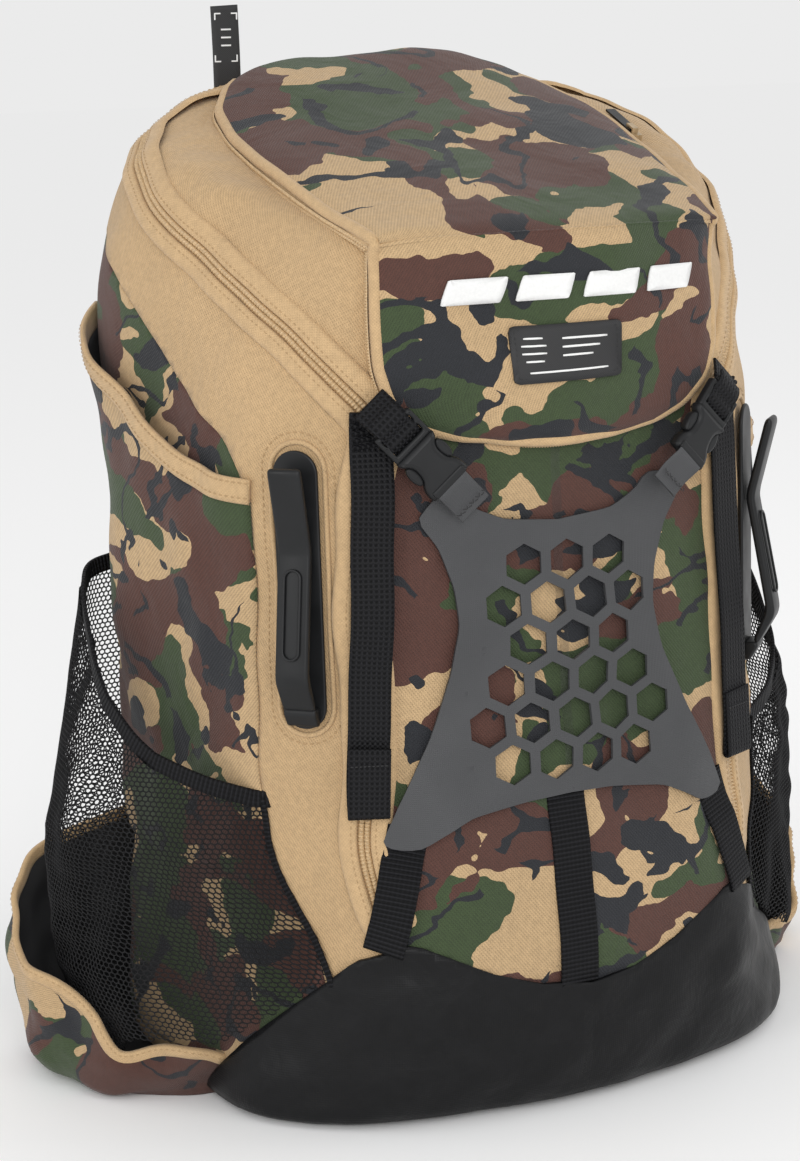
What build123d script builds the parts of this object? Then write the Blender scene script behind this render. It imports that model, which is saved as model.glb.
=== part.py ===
from build123d import *
import math
import os

# Sports equipment backpack. Millimetres, +Z up, front faces -Y, +X to the right seen from the front.
# Origin: centre of the underside, where the bag stands on the floor.

# ---- driving dimensions ----
WALL = 4.5                  # padded fabric wall of the main shell
SKIN = 2.5                  # coated fabric of the base boot
GAP = 0.4                   # running gap between bodies
TAPE = 9.0                  # one side of a zip tape
TAPE_THICK = 2.0
BACK_Y = 114.0              # outer face of the back panel
ROOF_Y, ROOF_Z = -97.0, 416.0   # front edge of the sloping roof
ROOF_SLOPE = 0.37
CUT_Y = -84.0               # main zip runs up the front edges in this plane
WEBBING = 20.0              # width of the webbing
WEB_THICK = 1.6
ELASTIC_THICK = 1.4
CHAMFER_X, CHAMFER_Y = 121.5, -66.5     # middle of the slanted strip that carries a gear hook
HOOK_Z = 263.0
STRAP_WIDTH, STRAP_THICK = 62.0, 12.0

# level z, half width, front depth, how far the front corner draws in
LEVELS = [
    (0, 171, 108, -16),
    (14, 174, 117, -14),
    (60, 171, 119, -4),
    (110, 166, 115, 0),
    (200, 166, 101, 0),
    (335, 167, 98, 0),
    (385, 169, 97, 7),
    (424, 165, 97, 19),
    (462, 149, 97, 32),
    (486, 122, 97, 40),
    (500, 92, 97, 50),
]


# ---- helpers ----
def outline(half_width, front, draw, inset=0.0):
    """Plan outline of the bag at one level as a closed list of (x, y)."""
    half = [
        (0, -front),
        (60, 7 - front),
        (101 - 0.2 * draw, min(19 - front, CUT_Y + 0.4 * draw)),
        (CHAMFER_X - 0.7 * draw, CHAMFER_Y + 0.7 * draw),
        (141 - draw, -46 + 0.5 * draw),
        (max(half_width - 14, 147 - draw), 2),
        (half_width, 52),
        (half_width - 6, 90),
        (half_width - 26, BACK_Y - 4),
        (half_width - 60, BACK_Y),
        (0, BACK_Y),
    ]
    ring = half + [(-x, y) for x, y in reversed(half[1:-1])]
    return inset_ring(ring, inset) if inset else ring


def inset_ring(ring, distance):
    """Moves each corner of a counter-clockwise ring inwards by a distance."""
    moved = []
    for i, (x, y) in enumerate(ring):
        ax, ay = ring[i - 1]
        bx, by = ring[(i + 1) % len(ring)]
        run = math.hypot(bx - ax, by - ay)
        moved.append((x - distance * (by - ay) / run, y + distance * (bx - ax) / run))
    return moved


def level_at(z):
    """Half width, front depth and corner draw at height z."""
    for low, high in zip(LEVELS, LEVELS[1:]):
        if z <= high[0]:
            t = max(0.0, (z - low[0]) / (high[0] - low[0]))
            return [low[k] + t * (high[k] - low[k]) for k in (1, 2, 3)]
    return list(LEVELS[-1][1:])


def polygon_wire(points):
    return Wire.make_polygon([Vector(*p) for p in points], close=True)


def ruled(wires):
    return Solid.make_loft(wires, ruled=True)


def bag_solid(inset, floor, roof_drop):
    """The bag's closed envelope, moved inwards, above floor and under the sloping roof."""
    levels = [floor] + [row[0] for row in LEVELS if row[0] > floor + 5]
    wires = []
    for z in levels:
        ring = outline(*level_at(z), inset)
        wires.append(polygon_wire([(x, y, z) for x, y in ring]))
    return ruled(wires) & yz_prism(roof_region(roof_drop), 200)


def roof_z(y):
    return ROOF_Z + ROOF_SLOPE * (y - ROOF_Y)


def roof_region(drop):
    return [(-160, -10), (160, -10), (160, roof_z(160) - drop), (-160, roof_z(-160) - drop)]


def yz_prism(points, half_length, x=0.0):
    """A polygon of (y, z) points extruded both ways along X."""
    face = Face(polygon_wire([(x - half_length, y, z) for y, z in points]))
    return Solid.extrude(face, Vector(2 * half_length, 0, 0))


def xz_prism(points, y_low, y_high):
    face = Face(polygon_wire([(x, y_low, z) for x, z in points]))
    return Solid.extrude(face, Vector(0, y_high - y_low, 0))


def xy_prism(points, z_low, z_high):
    face = Face(polygon_wire([(x, y, z_low) for x, y in points]))
    return Solid.extrude(face, Vector(0, 0, z_high - z_low))


def box(x0, x1, y0, y1, z0, z1):
    return Pos((x0 + x1) / 2, (y0 + y1) / 2, (z0 + z1) / 2) * Box(x1 - x0, y1 - y0, z1 - z0)


def ribbon(points, across, width, thick):
    """A flat strip along points; across is its width direction, one for all or one for each point."""
    path = [Vector(*p) for p in points]
    sides = across if isinstance(across, list) else [across] * len(path)
    wires = []
    for i, p in enumerate(path):
        ahead = path[min(i + 1, len(path) - 1)] - path[max(i - 1, 0)]
        along = ahead.normalized()
        side = Vector(*sides[i])
        side = (side - along * side.dot(along)).normalized() * (width / 2)
        normal = along.cross(side).normalized() * (thick / 2)
        wires.append(polygon_wire([tuple(p + side + normal), tuple(p - side + normal),
                                   tuple(p - side - normal), tuple(p + side - normal)]))
    return ruled(wires)


def local_block(plane, u0, u1, v0, v1, n0, n1):
    """A block in a plane's own axes: u along x_dir, v along y_dir, n along z_dir."""
    centre = Pos((u0 + u1) / 2, (v0 + v1) / 2, (n0 + n1) / 2)
    return plane * centre * Box(u1 - u0, v1 - v0, n1 - n0)


def flip(shape):
    """The same piece on the bag's other side."""
    return mirror(shape, about=Plane.YZ)


def save(node, shape):
    solids = shape.solids()
    export_step(solids[0] if len(solids) == 1 else Compound(children=solids), f"parts/{node}.step")


def save_pair(name, shape):
    """A piece on the bag's left, at -X, and its mirror image."""
    save(f"{name}_left", shape)
    save(f"{name}_right", flip(shape))


# ---- the main shell, split along the main zip ----
def offset_cut(d):
    """The main zip's line in side view, moved by d towards the front flap."""
    s = d * 0.82
    t = d * 0.57
    return [(CUT_Y - d, 60), (CUT_Y - d, 344 + 0.4 * d), (-78 - 0.8 * d, 362 + 0.6 * d), (-60 - t, 383 + s),
            (0 - t, 424 + s), (55 - t, 458 + s), (102 - d, 474 + 0.5 * d), (102 - d, 560)]


def front_of(d):
    """Region in front of the zip line moved by d."""
    return offset_cut(d) + [(-200, 560), (-200, 60)]


def boot_region(grow):
    """Side view of the base boot; its top edge dips at the middle of the front."""
    g = grow
    return [(-160, -5), (-160, 62 + g), (-117, 63 + g), (-109, 76 + g), (-100, 94 + g), (-91, 92 + g),
            (-57 + g, 55 + g), (-32 + g, 27 + g), (-13 + g, 5), (-13 + g, -5)]


def make_main_shell():
    envelope = bag_solid(0, 0, 0)
    cavity = bag_solid(WALL, SKIN + WALL, WALL)
    under_boot = bag_solid(SKIN, SKIN, SKIN)
    shell = envelope - cavity
    skin_layer = envelope - under_boot
    floor_skin = envelope & box(-200, 200, -200, 200, -1, SKIN)
    boot = (skin_layer & yz_prism(boot_region(0), 200)) + floor_skin
    rear = shell - yz_prism(front_of(-TAPE), 200) - floor_skin
    foot_wall = shell & yz_prism([(-160, SKIN), (-160, 62), (-117, 63), (-109, 76), (-100, 90), (CUT_Y, 90),
                                  (CUT_Y, SKIN)], 200)
    rear = (rear + foot_wall) - boot
    flap = shell & yz_prism(front_of(TAPE), 200)
    flap = flap - yz_prism(boot_region(2.0), 200) - tray_block(1.0, 12)
    save("rear_shell", rear)
    save("base_boot", boot)
    save("front_flap_shell", flap)
    tape_layer = bag_solid(1.0, 20, 1.0) - bag_solid(1.0 + TAPE_THICK, 19, 1.0 + TAPE_THICK)
    above_boot = yz_prism([(-200, 97), (200, 97), (200, 600), (-200, 600)], 200)
    front_tape = tape_layer & yz_prism(front_of(GAP / 2), 200)
    front_tape = (front_tape - yz_prism(front_of(TAPE), 200)) & above_boot
    rear_tape = tape_layer & yz_prism(front_of(-TAPE), 200)
    rear_tape = (rear_tape - yz_prism(front_of(-GAP / 2), 200)) & above_boot
    save("main_zip_front_tape", front_tape)
    save("main_zip_rear_tape", rear_tape)


def tray_block(grow, above):
    """The space under the lid that the top pocket's tray hangs in."""
    y0, y1, depth = -84 - grow, 80 + grow, 34 + grow
    side = [
        (y0, roof_z(y0) - depth),
        (y1, roof_z(y1) - depth),
        (y1, roof_z(y1) + above),
        (y0, roof_z(y0) + above),
    ]
    return yz_prism(side, 76 + grow)


# ---- stiffeners and back padding ----
def make_back():
    inside = BACK_Y - WALL
    half = [(85, 20), (100, 60), (100, 400), (75, 440)]
    sheet = xz_prism(half + [(-x, z) for x, z in half[::-1]], inside - 2.0, inside - 0.3)
    save("back_frame_sheet", sheet)
    half = [(85, -92), (118, -60), (140, 0), (146, 85)]
    board_z = SKIN + WALL + BODY_CLEARANCE
    board = xy_prism(half + [(-x, y) for x, y in half[::-1]], board_z, board_z + 3.0)
    save("base_board", board)
    pads = []
    for side in (-1, 1):
        for z_low, z_high in ((60, 175), (190, 300)):
            ends = sorted((side * 14, side * 98))
            pad = box(ends[0], ends[1], BACK_Y + 0.2, BACK_Y + 9, z_low, z_high)
            pads.append(fillet(pad.edges().filter_by(Axis.Y), 16))
    save("back_pads", Compound(children=pads))


# ---- gear hooks on the slanted front corners ----
HOOK_AT = (-CHAMFER_X, CHAMFER_Y, HOOK_Z)
HOOK_PLANE = Plane(origin=HOOK_AT, x_dir=(0.7071, -0.7071, 0), z_dir=(-0.7071, -0.7071, 0))


def hook_profile(points, half_width):
    """A polygon of (outward, up) points in the hook's side view, as wide as the hook."""
    corners = [HOOK_PLANE.from_local_coords((-half_width, v, n)) for n, v in points]
    face = Face(polygon_wire([tuple(c) for c in corners]))
    return Solid.extrude(face, HOOK_PLANE.x_dir * (2 * half_width))


def make_hooks():
    plate = local_block(HOOK_PLANE, -11, 11, -66, 66, 0.4, 2.4)
    foot = hook_profile([(2.4, -64), (4.4, -64), (9.0, -56), (6.0, -54.5), (2.4, -56)], 8)
    save_pair("hook_plate", plate + foot)
    arm = hook_profile([(9.8, -55.5), (18, -41), (18, -36), (7.8, 20), (17, 58), (13.8, 60), (3.6, 22),
                        (3.6, 18), (13.2, -36), (7.0, -53.2)], 8)
    save_pair("hook_arm", arm)


# ---- side pockets ----
CLOTH = 2.0                 # camouflage cloth and net of the side pockets
BODY_CLEARANCE = 0.3        # what a sewn-on pocket stands off the shell
SLEEVE_OUT = 10.0
SLEEVE_TOP = [(-40, 306), (-8, 308), (20, 320), (55, 345), (92, 372)]


def side_ring(z, inset):
    return outline(*level_at(z), inset)


def side_point(y, z, out):
    """Point on the bag's left side wall at depth y and height z, moved out."""
    half = [p for p in side_ring(z, -out) if p[0] >= 0][3:9]
    for (ax, ay), (bx, by) in zip(half, half[1:]):
        if ay <= y <= by:
            t = (y - ay) / (by - ay)
            return (-(ax + t * (bx - ax)), y, z)
    return (-half[-1][0], y, z)


def make_side_sleeves():
    """The fabric sleeve on each side: a thin layer over the side wall, open at the top."""
    outer = bag_solid(-SLEEVE_OUT, 100, -SLEEVE_OUT)
    inner = bag_solid(CLOTH - SLEEVE_OUT, 99, CLOTH - SLEEVE_OUT)
    area = [(-38, 150), (-38, 304)] + SLEEVE_TOP[1:] + [(96, 372), (96, 150)]
    sleeve = (outer - inner) & yz_prism(area, 100, -160)
    standing = outer - bag_solid(-BODY_CLEARANCE, 99, -BODY_CLEARANCE)
    for y0, y1, z0, z1 in ((-40, -36, 150, 303), (94, 98, 150, 372), (-40, 98, 148, 152)):
        sleeve += standing & yz_prism([(y0, z0), (y0, z1), (y1, z1), (y1, z0)], 100, -160)
    save_pair("side_sleeve", sleeve)
    hem_points = [side_point(y, z - 3, SLEEVE_OUT + 3.4) for y, z in SLEEVE_TOP[1:]]
    outward = [(0, -0.25, 1)] * len(hem_points)
    save_pair("sleeve_hem", ribbon(hem_points, outward, 6, 3.0))


def pocket_ring(z, out, back, spread):
    """D-shaped plan of a side pocket at one level: hung on the side wall, bulging by out."""
    front_y = -44
    return [
        (-110, front_y),
        (-139, front_y),
        (-150 - 0.35 * out, front_y + 14),
        (-164 - 0.72 * out, -2 + spread),
        (-172 - out, 34 + spread),
        (-172 - out, back - 26),
        (-168 - 0.7 * out, back - 6),
        (-150, back),
        (-110, back),
    ]


MESH_LEVELS = [(24, 30), (60, 42), (130, 42), (190, 26), (250, 14)]
CUP_LEVELS = [(0.2, 52), (20, 60), (70, 62), (118, 58)]     # level, bulge


def pocket_solid(levels, inset, back, spread):
    wires = []
    for z, out in levels:
        ring = pocket_ring(z, out, back, spread)
        ring = inset_ring(ring[::-1], inset)[::-1] if inset else ring
        wires.append(polygon_wire([(x, y, z) for x, y in ring]))
    return ruled(wires)


def make_net_pockets(body):
    """The net pockets, clear of the shell and of the sleeves above them."""
    rim = [(-60, 20), (-60, 158), (-44, 160), (-10, 176), (40, 222), (96, 256), (120, 256), (120, 20)]
    outer = pocket_solid(MESH_LEVELS, 0, 92, 0)
    inner_levels = [(z + (3 if z < 30 else 0) + (9 if z > 240 else 0), out) for z, out in MESH_LEVELS]
    inner = pocket_solid(inner_levels, 2.0, 92, 0)
    mesh = (outer - inner - body) & yz_prism(rim, 100, -190)
    sleeve_room = bag_solid(-SLEEVE_OUT - GAP, 100, -SLEEVE_OUT - GAP)
    mesh -= sleeve_room & yz_prism([(-60, 140), (-60, 400), (130, 400), (130, 140)], 100, -160)
    save_pair("mesh_pocket", mesh)


def make_side_pockets():
    body = bag_solid(-BODY_CLEARANCE, 0, -BODY_CLEARANCE)
    make_net_pockets(body)
    for name, draw in (("left", 0), ("right", 6)):
        levels = [(z, out - draw) for z, out in CUP_LEVELS]
        inner_levels = [(3.0, levels[0][1])] + levels[1:3] + [(119, levels[3][1])]
        mesh_clear = pocket_solid([(22, 32), (60, 42.6), (130, 42.6)], 0, 92.6, 0)
        cup = pocket_solid(levels, 0, 110, 10) - pocket_solid(inner_levels, 2.2, 110, 10)
        cup = cup - body - mesh_clear - box(-300, -100, -60, 8, 40, 200)
        save(f"bat_cup_{name}", cup if name == "left" else flip(cup))


# ---- helmet holder on the front: a perforated panel held by two buckles and three elastics ----
PANEL_X = -4.0              # the panel hangs a little to the left
PANEL_OUT = (4.6, 6.4)      # its inner and outer face, out from the front
HEX_PITCH = 22.0
HEX_FLATS = 17.0
HEX_TOP_Z = 269.6
HEX_ROWS = [3, 4, 3, 4, 5, 4]   # holes in each row, from the top
BUCKLE_AT = (-71.0, -104.5, 322.0)
BUCKLE_ALONG = (-0.66, 0.16, 0.73)      # from the panel's corner to the zip seam
BUCKLE_OUT = (-0.24, -0.97, 0.0)


def front_layer(inner, outer, floor=66):
    """A layer that follows the front of the bag, between two distances out from it."""
    return bag_solid(-outer, floor, -outer) - bag_solid(-inner, floor - 1, -inner)


def panel_outline():
    half = [(0, 289), (28, 292), (44, 299), (50, 308), (72, 298), (60, 282), (53, 262), (51, 243),
            (55, 221), (68, 190), (84, 160), (92, 142), (76, 139), (58, 150), (22, 156), (0, 157)]
    right = [(PANEL_X + x, z) for x, z in half]
    left = [(PANEL_X - x, z) for x, z in half[1:-1]]
    return right + left[::-1]


def hexagon_holes():
    radius = HEX_FLATS / math.sqrt(3)
    holes = []
    for row, count in enumerate(HEX_ROWS):
        z = HEX_TOP_Z - row * HEX_PITCH * math.sqrt(3) / 2
        for k in range(count):
            x = (k - (count - 1) / 2) * HEX_PITCH
            corners = [(x + radius * math.sin(a), z + radius * math.cos(a))
                       for a in (math.radians(60 * n) for n in range(6))]
            holes.append(xz_prism(corners, -140, -60))
    return holes


def make_helmet_panel():
    panel = front_layer(*PANEL_OUT) & xz_prism(panel_outline(), -140, -60)
    for hole in hexagon_holes():
        panel = panel - hole
    plane = buckle_plane()
    tab = local_block(plane, -31, -13.6, -8.5, 8.5, -1.6, 0.2)
    panel = panel - local_block(plane, -17, 60, -20, 20, -9, 9)
    save("helmet_panel", panel)
    loop = tab + flip(tab)
    save("panel_loops", loop)


def buckle_plane():
    return Plane(origin=BUCKLE_AT, x_dir=BUCKLE_ALONG, z_dir=BUCKLE_OUT)


def make_buckles():
    plane = buckle_plane()
    socket = local_block(plane, -13.2, 12, -11.5, 11.5, -4.2, 4.2)
    socket = chamfer(socket.edges(), 1.2)
    socket = socket - local_block(plane, -7, 20, -9.7, 9.7, -2.6, 2.6)
    for side in (-1, 1):
        ends = sorted((side * 8.4, side * 20))
        socket = socket - local_block(plane, -3, 7, ends[0], ends[1], -9, 9)
    socket = socket - local_block(plane, -11.4, -9.0, -8.6, 8.6, -9, 9)
    save_pair("buckle_socket", socket)
    plug = local_block(plane, 12.5, 27, -11, 11, -2.6, 2.6)
    plug = chamfer(plug.edges(), 0.8)
    for u in (16.0, 21.5):
        plug = plug - local_block(plane, u, u + 3.2, -8.6, 8.6, -9, 9)
    for v0, v1 in ((-9.2, -5.6), (-2.2, 2.2), (5.6, 9.2)):
        plug = plug + local_block(plane, -5, 14, v0, v1, -1.9, 1.9)
    save_pair("buckle_plug", plug)
    anchor = [plane.from_local_coords((u, 0, n)) for u, n in ((27.6, 0.5), (33, -2.5), (38, -6.5))]
    anchor_strap = ribbon([tuple(p) for p in anchor], tuple(plane.y_dir), WEBBING - 3, WEB_THICK)
    save_pair("anchor_webbing", anchor_strap)


def front_point(x, z, out):
    """Point on the front at x and z, moved out."""
    half = [p for p in outline(*level_at(z), -out) if p[0] >= 0][:5]
    for (ax, ay), (bx, by) in zip(half, half[1:]):
        if ax <= abs(x) <= bx:
            return (x, ay + (abs(x) - ax) / (bx - ax) * (by - ay), z)
    return (x, half[-1][1], z)


def make_webbing():
    face = (0.93, -0.37, 0)
    tail_top = 343
    strips = []
    for out, heights in ((5.8, [tail_top, 330, 300, 270, 240, 210, 190, 172, 156]), (8.4, [186, 171, 156])):
        line = [front_point(-91 - 0.05 * (tail_top - z), z, out) for z in heights]
        strips.append(ribbon(line, face, WEBBING, WEB_THICK))
    save_pair("webbing_tail", strips[0] + strips[1])
    for name, top, foot, across in (
        ("left", (-84, 137.5), (-98, 99), (0.9, -0.3, 0.3)),
        ("right", (84 + PANEL_X, 137.5), (95, 99), (0.9, 0.3, -0.3)),
        ("centre", (PANEL_X - 2, 154.5), (PANEL_X - 2, 68), (1, 0, 0)),
    ):
        points = []
        for k in range(7):
            t = k / 6
            x = top[0] + t * (foot[0] - top[0])
            z = top[1] + t * (foot[1] - top[1])
            points.append(front_point(x, z, 5.0 - 3.5 * t))
        save(f"elastic_{name}", ribbon(points, across, WEBBING, ELASTIC_THICK))


# ---- lid of the top pocket ----
LID_LIP_OUT = 11.0
LID_PLAN = [(-88, -100), (-92, -80), (-97, -55), (-104, 0), (-105, 35), (-100, 65), (-86, 86), (-60, 95)]


def lid_volume(inset):
    """The lid's crowned top and its hanging lip, drawn in by inset."""
    plan = [(x, y) for x, y in LID_PLAN] + [(-x, y) for x, y in LID_PLAN[::-1]]
    plan = inset_ring(plan[::-1], inset) if inset else plan[::-1]
    back_half = [(-106, 478), (-106, 492), (-84, 501), (-45, 508)]
    front_half = [(-106, 395), (-106, 423), (-84, 424), (-45, 425)]
    back = back_half + [(0, 511)] + [(-x, z) for x, z in back_half[::-1]]
    front = front_half + [(0, 426)] + [(-x, z) for x, z in front_half[::-1]]
    wires = []
    for y, arch in ((-100, front), (96, back)):
        drop = [0 if k in (0, len(arch) - 1) else inset for k in range(len(arch))]
        wires.append(polygon_wire([(x, y, z - d) for (x, z), d in zip(arch, drop)]))
    top = ruled(wires) & xy_prism(plan, 380, 520)
    roof = [(-160, -10), (160, -10), (160, roof_z(160) + 0.6), (-160, roof_z(-160) + 0.6)]
    return top - yz_prism(roof, 200)


def lip_volume(inset):
    half = [(-88, 424), (-88, 365), (-82, 348), (-66, 336), (-35, 329)]
    shape = half + [(0, 327)] + [(-x, z) for x, z in half[::-1]]
    shape = inset_ring(shape, inset) if inset else shape
    layer = bag_solid(inset - LID_LIP_OUT, 300, -4) - bag_solid(-0.6, 299, -0.6)
    profile = [
        (-160, 300),
        (-60, 300),
        (-60, 430),
        (-97, 424.5 - inset * 0.6),
        (-104, 424 - inset),
        (-160, 414 - inset),
    ]
    return layer & xz_prism(shape, -140, -60) & yz_prism(profile, 200)


def make_lid():
    cover = lid_volume(0) + lip_volume(0)
    hollow = lid_volume(2.6) + lip_volume(2.6)
    under = bag_solid(-2.4, 300, -2.4)
    cover = cover - hollow - under
    save("lid_cover", cover)
    save("lid_pocket_tray", tray_block(0, 0.3) - tray_block(-1.6, 3))
    patch_layer = bag_solid(-LID_LIP_OUT - 2.0, 300, -4) - bag_solid(-LID_LIP_OUT - 0.2, 299, -4)
    patch = patch_layer & box(-28, 29, -140, -60, 355, 381)
    save("lid_patch", patch)


# ---- zip sliders and their pulls ----
def make_sliders():
    z = roof_z(106.4) + 0.4
    body = box(-19, -8, 97.6, 106.4, z, z + 3.6)
    bridge = box(-17, -15.6, 100, 104, z + 3.6, z + 5.8) + box(-11.4, -10, 100, 104, z + 3.6, z + 5.8)
    bridge = bridge + box(-17, -10, 100, 104, z + 5.8, z + 6.8)
    save_pair("main_zip_slider", body + bridge)
    pull = box(-40, -12.0, 99.2, 104.8, z + 4.2, z + 5.4) - box(-18, -13.4, 99.9, 104.1, z, z + 9)
    save_pair("main_zip_pull", pull)
    plane = lid_zip_plane()
    slider = local_block(plane, -6, 6, -3.6, 3.6, 0.6, 3.8)
    arch = local_block(plane, -4, 4, -1.6, 1.6, 5.8, 6.8)
    for u in (-4, 2.8):
        arch = arch + local_block(plane, u, u + 1.2, -1.6, 1.6, 3.8, 5.8)
    save("lid_zip_slider", slider + arch)
    tab = local_block(plane, -28, 1.6, -2.6, 2.6, 4.2, 5.4) - local_block(plane, -4.8, 0.2, -1.9, 1.9, 0, 9)
    save("lid_zip_pull", tab)


def lid_zip_plane():
    """Centre of the lid zip's slider: x_dir runs forwards down the zip, z_dir points up."""
    return Plane(origin=(111.0, 20.0, roof_z(20)), x_dir=(-0.09, -0.935, -0.346), z_dir=(0, -0.347, 0.938))


# ---- carrying parts on the back ----
STRAP_PATH = [
    (-42, 132, 457),
    (-46, 141, 446),
    (-54, 149, 420),
    (-63, 153, 380),
    (-71, 150, 330),
    (-78, 142, 280),
    (-86, 134, 230),
    (-94, 130, 187),
]
LOWER_WEBBING = [(-102.6, 131, 168.5), (-112, 129.5, 154), (-124, 127, 139), (-136, 125, 125)]
HANDLE_Y = BACK_Y + 4.0
STERNUM_Z = 340.0
STERNUM_Y = 162.5


def make_shoulder_straps():
    strap = ribbon(STRAP_PATH, (1, 0, 0.05), STRAP_WIDTH, STRAP_THICK)
    save_pair("shoulder_strap", strap)
    yoke = xz_prism([(-76, 436), (76, 436), (70, 461), (-70, 461)], BACK_Y + 0.2, BACK_Y + 6.0)
    save("strap_yoke", yoke)
    lock = Plane(origin=(-95.6, 131, 183.6), x_dir=(0.9, 0, -0.436), z_dir=(0, 1, 0))
    frame = local_block(lock, -14, 14, 1.6, 14.6, -1.8, 1.8)
    for v0, v1 in ((3.8, 7.0), (9.4, 12.4)):
        frame = frame - local_block(lock, -11, 11, v0, v1, -5, 5)
    save_pair("ladder_lock", frame)
    save_pair("strap_webbing", ribbon(LOWER_WEBBING, (0.75, 0, -0.66), WEBBING, WEB_THICK))
    wing = [(-152, 84), (-128, 92), (-128, 126), (-141, 131), (-152, 128)]
    save_pair("strap_wing", xz_prism(wing, BACK_Y + 0.2, BACK_Y + 8.6))


def make_grab_handle():
    y = HANDLE_Y
    half = [(-42, 491), (-41, 480), (-35, 471.5), (-22, 469)]
    path = [(x, y, z) for x, z in half + [(-x, z) for x, z in half[::-1]]]
    loop = ribbon(path, (0, 1, 0), 5, 9)
    save("grab_handle", loop)


def make_sternum():
    z = STERNUM_Z
    y = STERNUM_Y
    for side, name in ((-1, "left"), (1, "right")):
        ends = sorted((side * 58, side * 80))
        save(f"sternum_slider_{name}", box(ends[0], ends[1], y - 2, y + 2, z - 9, z + 9))
    save("sternum_webbing_left", box(-57.6, -15.2, y - 0.8, y + 0.8, z - 8, z + 8))
    save("sternum_webbing_right", box(20.4, 57.6, y - 0.8, y + 0.8, z - 8, z + 8))
    socket = box(-15, 6, y - 3.4, y + 3.4, z - 9, z + 9) - box(-8, 10, y - 2.0, y + 2.0, z - 7, z + 7)
    save("sternum_buckle_socket", socket)
    plug = box(6.4, 20, y - 2.2, y + 2.2, z - 8.5, z + 8.5)
    for x0, x1 in ((10, 13), (15.4, 17.6)):
        plug = plug - box(x0, x1, y - 9, y + 9, z - 6.5, z + 6.5)
    for low in (-6.6, -1.8, 3.4):
        plug = plug + box(-6, 7, y - 1.5, y + 1.5, z + low, z + low + 3.2)
    save("sternum_buckle_plug", plug)


def make_tag():
    points = [(-76, 110.5, 494.2), (-76, 110, 510), (-77, 108, 533)]
    save("top_tag", ribbon(points, (1, 0, 0.05), 15, 1.4))


STEPS = (
    make_main_shell,
    make_back,
    make_hooks,
    make_side_sleeves,
    make_side_pockets,
    make_helmet_panel,
    make_buckles,
    make_webbing,
    make_lid,
    make_sliders,
    make_shoulder_straps,
    make_grab_handle,
    make_sternum,
    make_tag,
)


def main():
    os.makedirs("parts", exist_ok=True)
    for step in STEPS:
        step()


main()
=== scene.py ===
import bpy
import math
import numpy as np
from mathutils import Matrix, Vector
from mathutils.bvhtree import BVHTree


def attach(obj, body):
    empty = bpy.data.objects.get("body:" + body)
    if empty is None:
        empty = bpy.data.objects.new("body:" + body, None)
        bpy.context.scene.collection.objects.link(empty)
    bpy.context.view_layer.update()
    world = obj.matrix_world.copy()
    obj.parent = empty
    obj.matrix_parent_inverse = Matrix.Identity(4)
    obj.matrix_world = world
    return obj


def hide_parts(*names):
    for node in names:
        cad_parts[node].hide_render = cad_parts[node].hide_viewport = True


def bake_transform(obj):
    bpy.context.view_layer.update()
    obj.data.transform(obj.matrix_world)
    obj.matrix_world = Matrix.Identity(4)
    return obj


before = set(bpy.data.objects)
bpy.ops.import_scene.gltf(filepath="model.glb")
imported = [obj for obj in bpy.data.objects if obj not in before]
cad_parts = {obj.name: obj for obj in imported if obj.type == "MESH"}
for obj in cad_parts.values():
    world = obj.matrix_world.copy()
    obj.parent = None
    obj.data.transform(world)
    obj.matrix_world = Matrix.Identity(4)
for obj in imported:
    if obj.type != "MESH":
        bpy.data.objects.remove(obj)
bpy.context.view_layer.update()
MM = 0.001
SIDES = ((-1, "left"), (1, "right"))
FRONTWARD, BACKWARD = (0, -1.0, 0), (0, 1.0, 0)

# ---------------------------------------------------------------- camera, light and floor (metres)
CAMERA_PLACE = (-0.5496, -1.0778, 0.4974)
YAW, TILT, ROLL = math.radians(25.339), math.radians(11.898), math.radians(1.921)
LENS, SENSOR = 75, 36
LAMPS = (("key", (-0.8, -2.4, 1.2), 1.1, 20), ("left", (-2.3, -0.9, 1.0), 0.8, 9),
         ("rim", (1.9, -0.6, 1.3), 1.0, 5))
LAMP_TARGET = Vector((0, 0, 0.25))
SKY_GREY, FLOOR_GREY, FLOOR_REACH = 0.83, 0.99, 40


def link(name, data):
    made = bpy.data.objects.new(name, data)
    bpy.context.scene.collection.objects.link(made)
    return made


def make_camera():
    look = Vector((math.sin(YAW) * math.cos(TILT), math.cos(YAW) * math.cos(TILT), -math.sin(TILT)))
    side = Vector((math.cos(YAW), -math.sin(YAW), 0))
    up = side.cross(look)
    right = math.cos(ROLL) * side - math.sin(ROLL) * up
    top = math.sin(ROLL) * side + math.cos(ROLL) * up
    data = bpy.data.cameras.new("camera")
    data.lens = LENS
    data.sensor_width = SENSOR
    camera = link("camera", data)
    camera.matrix_world = Matrix.Translation(CAMERA_PLACE) @ Matrix((right, top, -look)).transposed().to_4x4()
    bpy.context.scene.camera = camera


def make_lamps():
    for name, place, size, watts in LAMPS:
        lamp = bpy.data.lights.new(name, "AREA")
        lamp.size = size
        lamp.energy = watts
        light = link(name, lamp)
        light.location = place
        light.rotation_mode = "QUATERNION"
        light.rotation_quaternion = (LAMP_TARGET - Vector(place)).to_track_quat("-Z", "Y")


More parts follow.
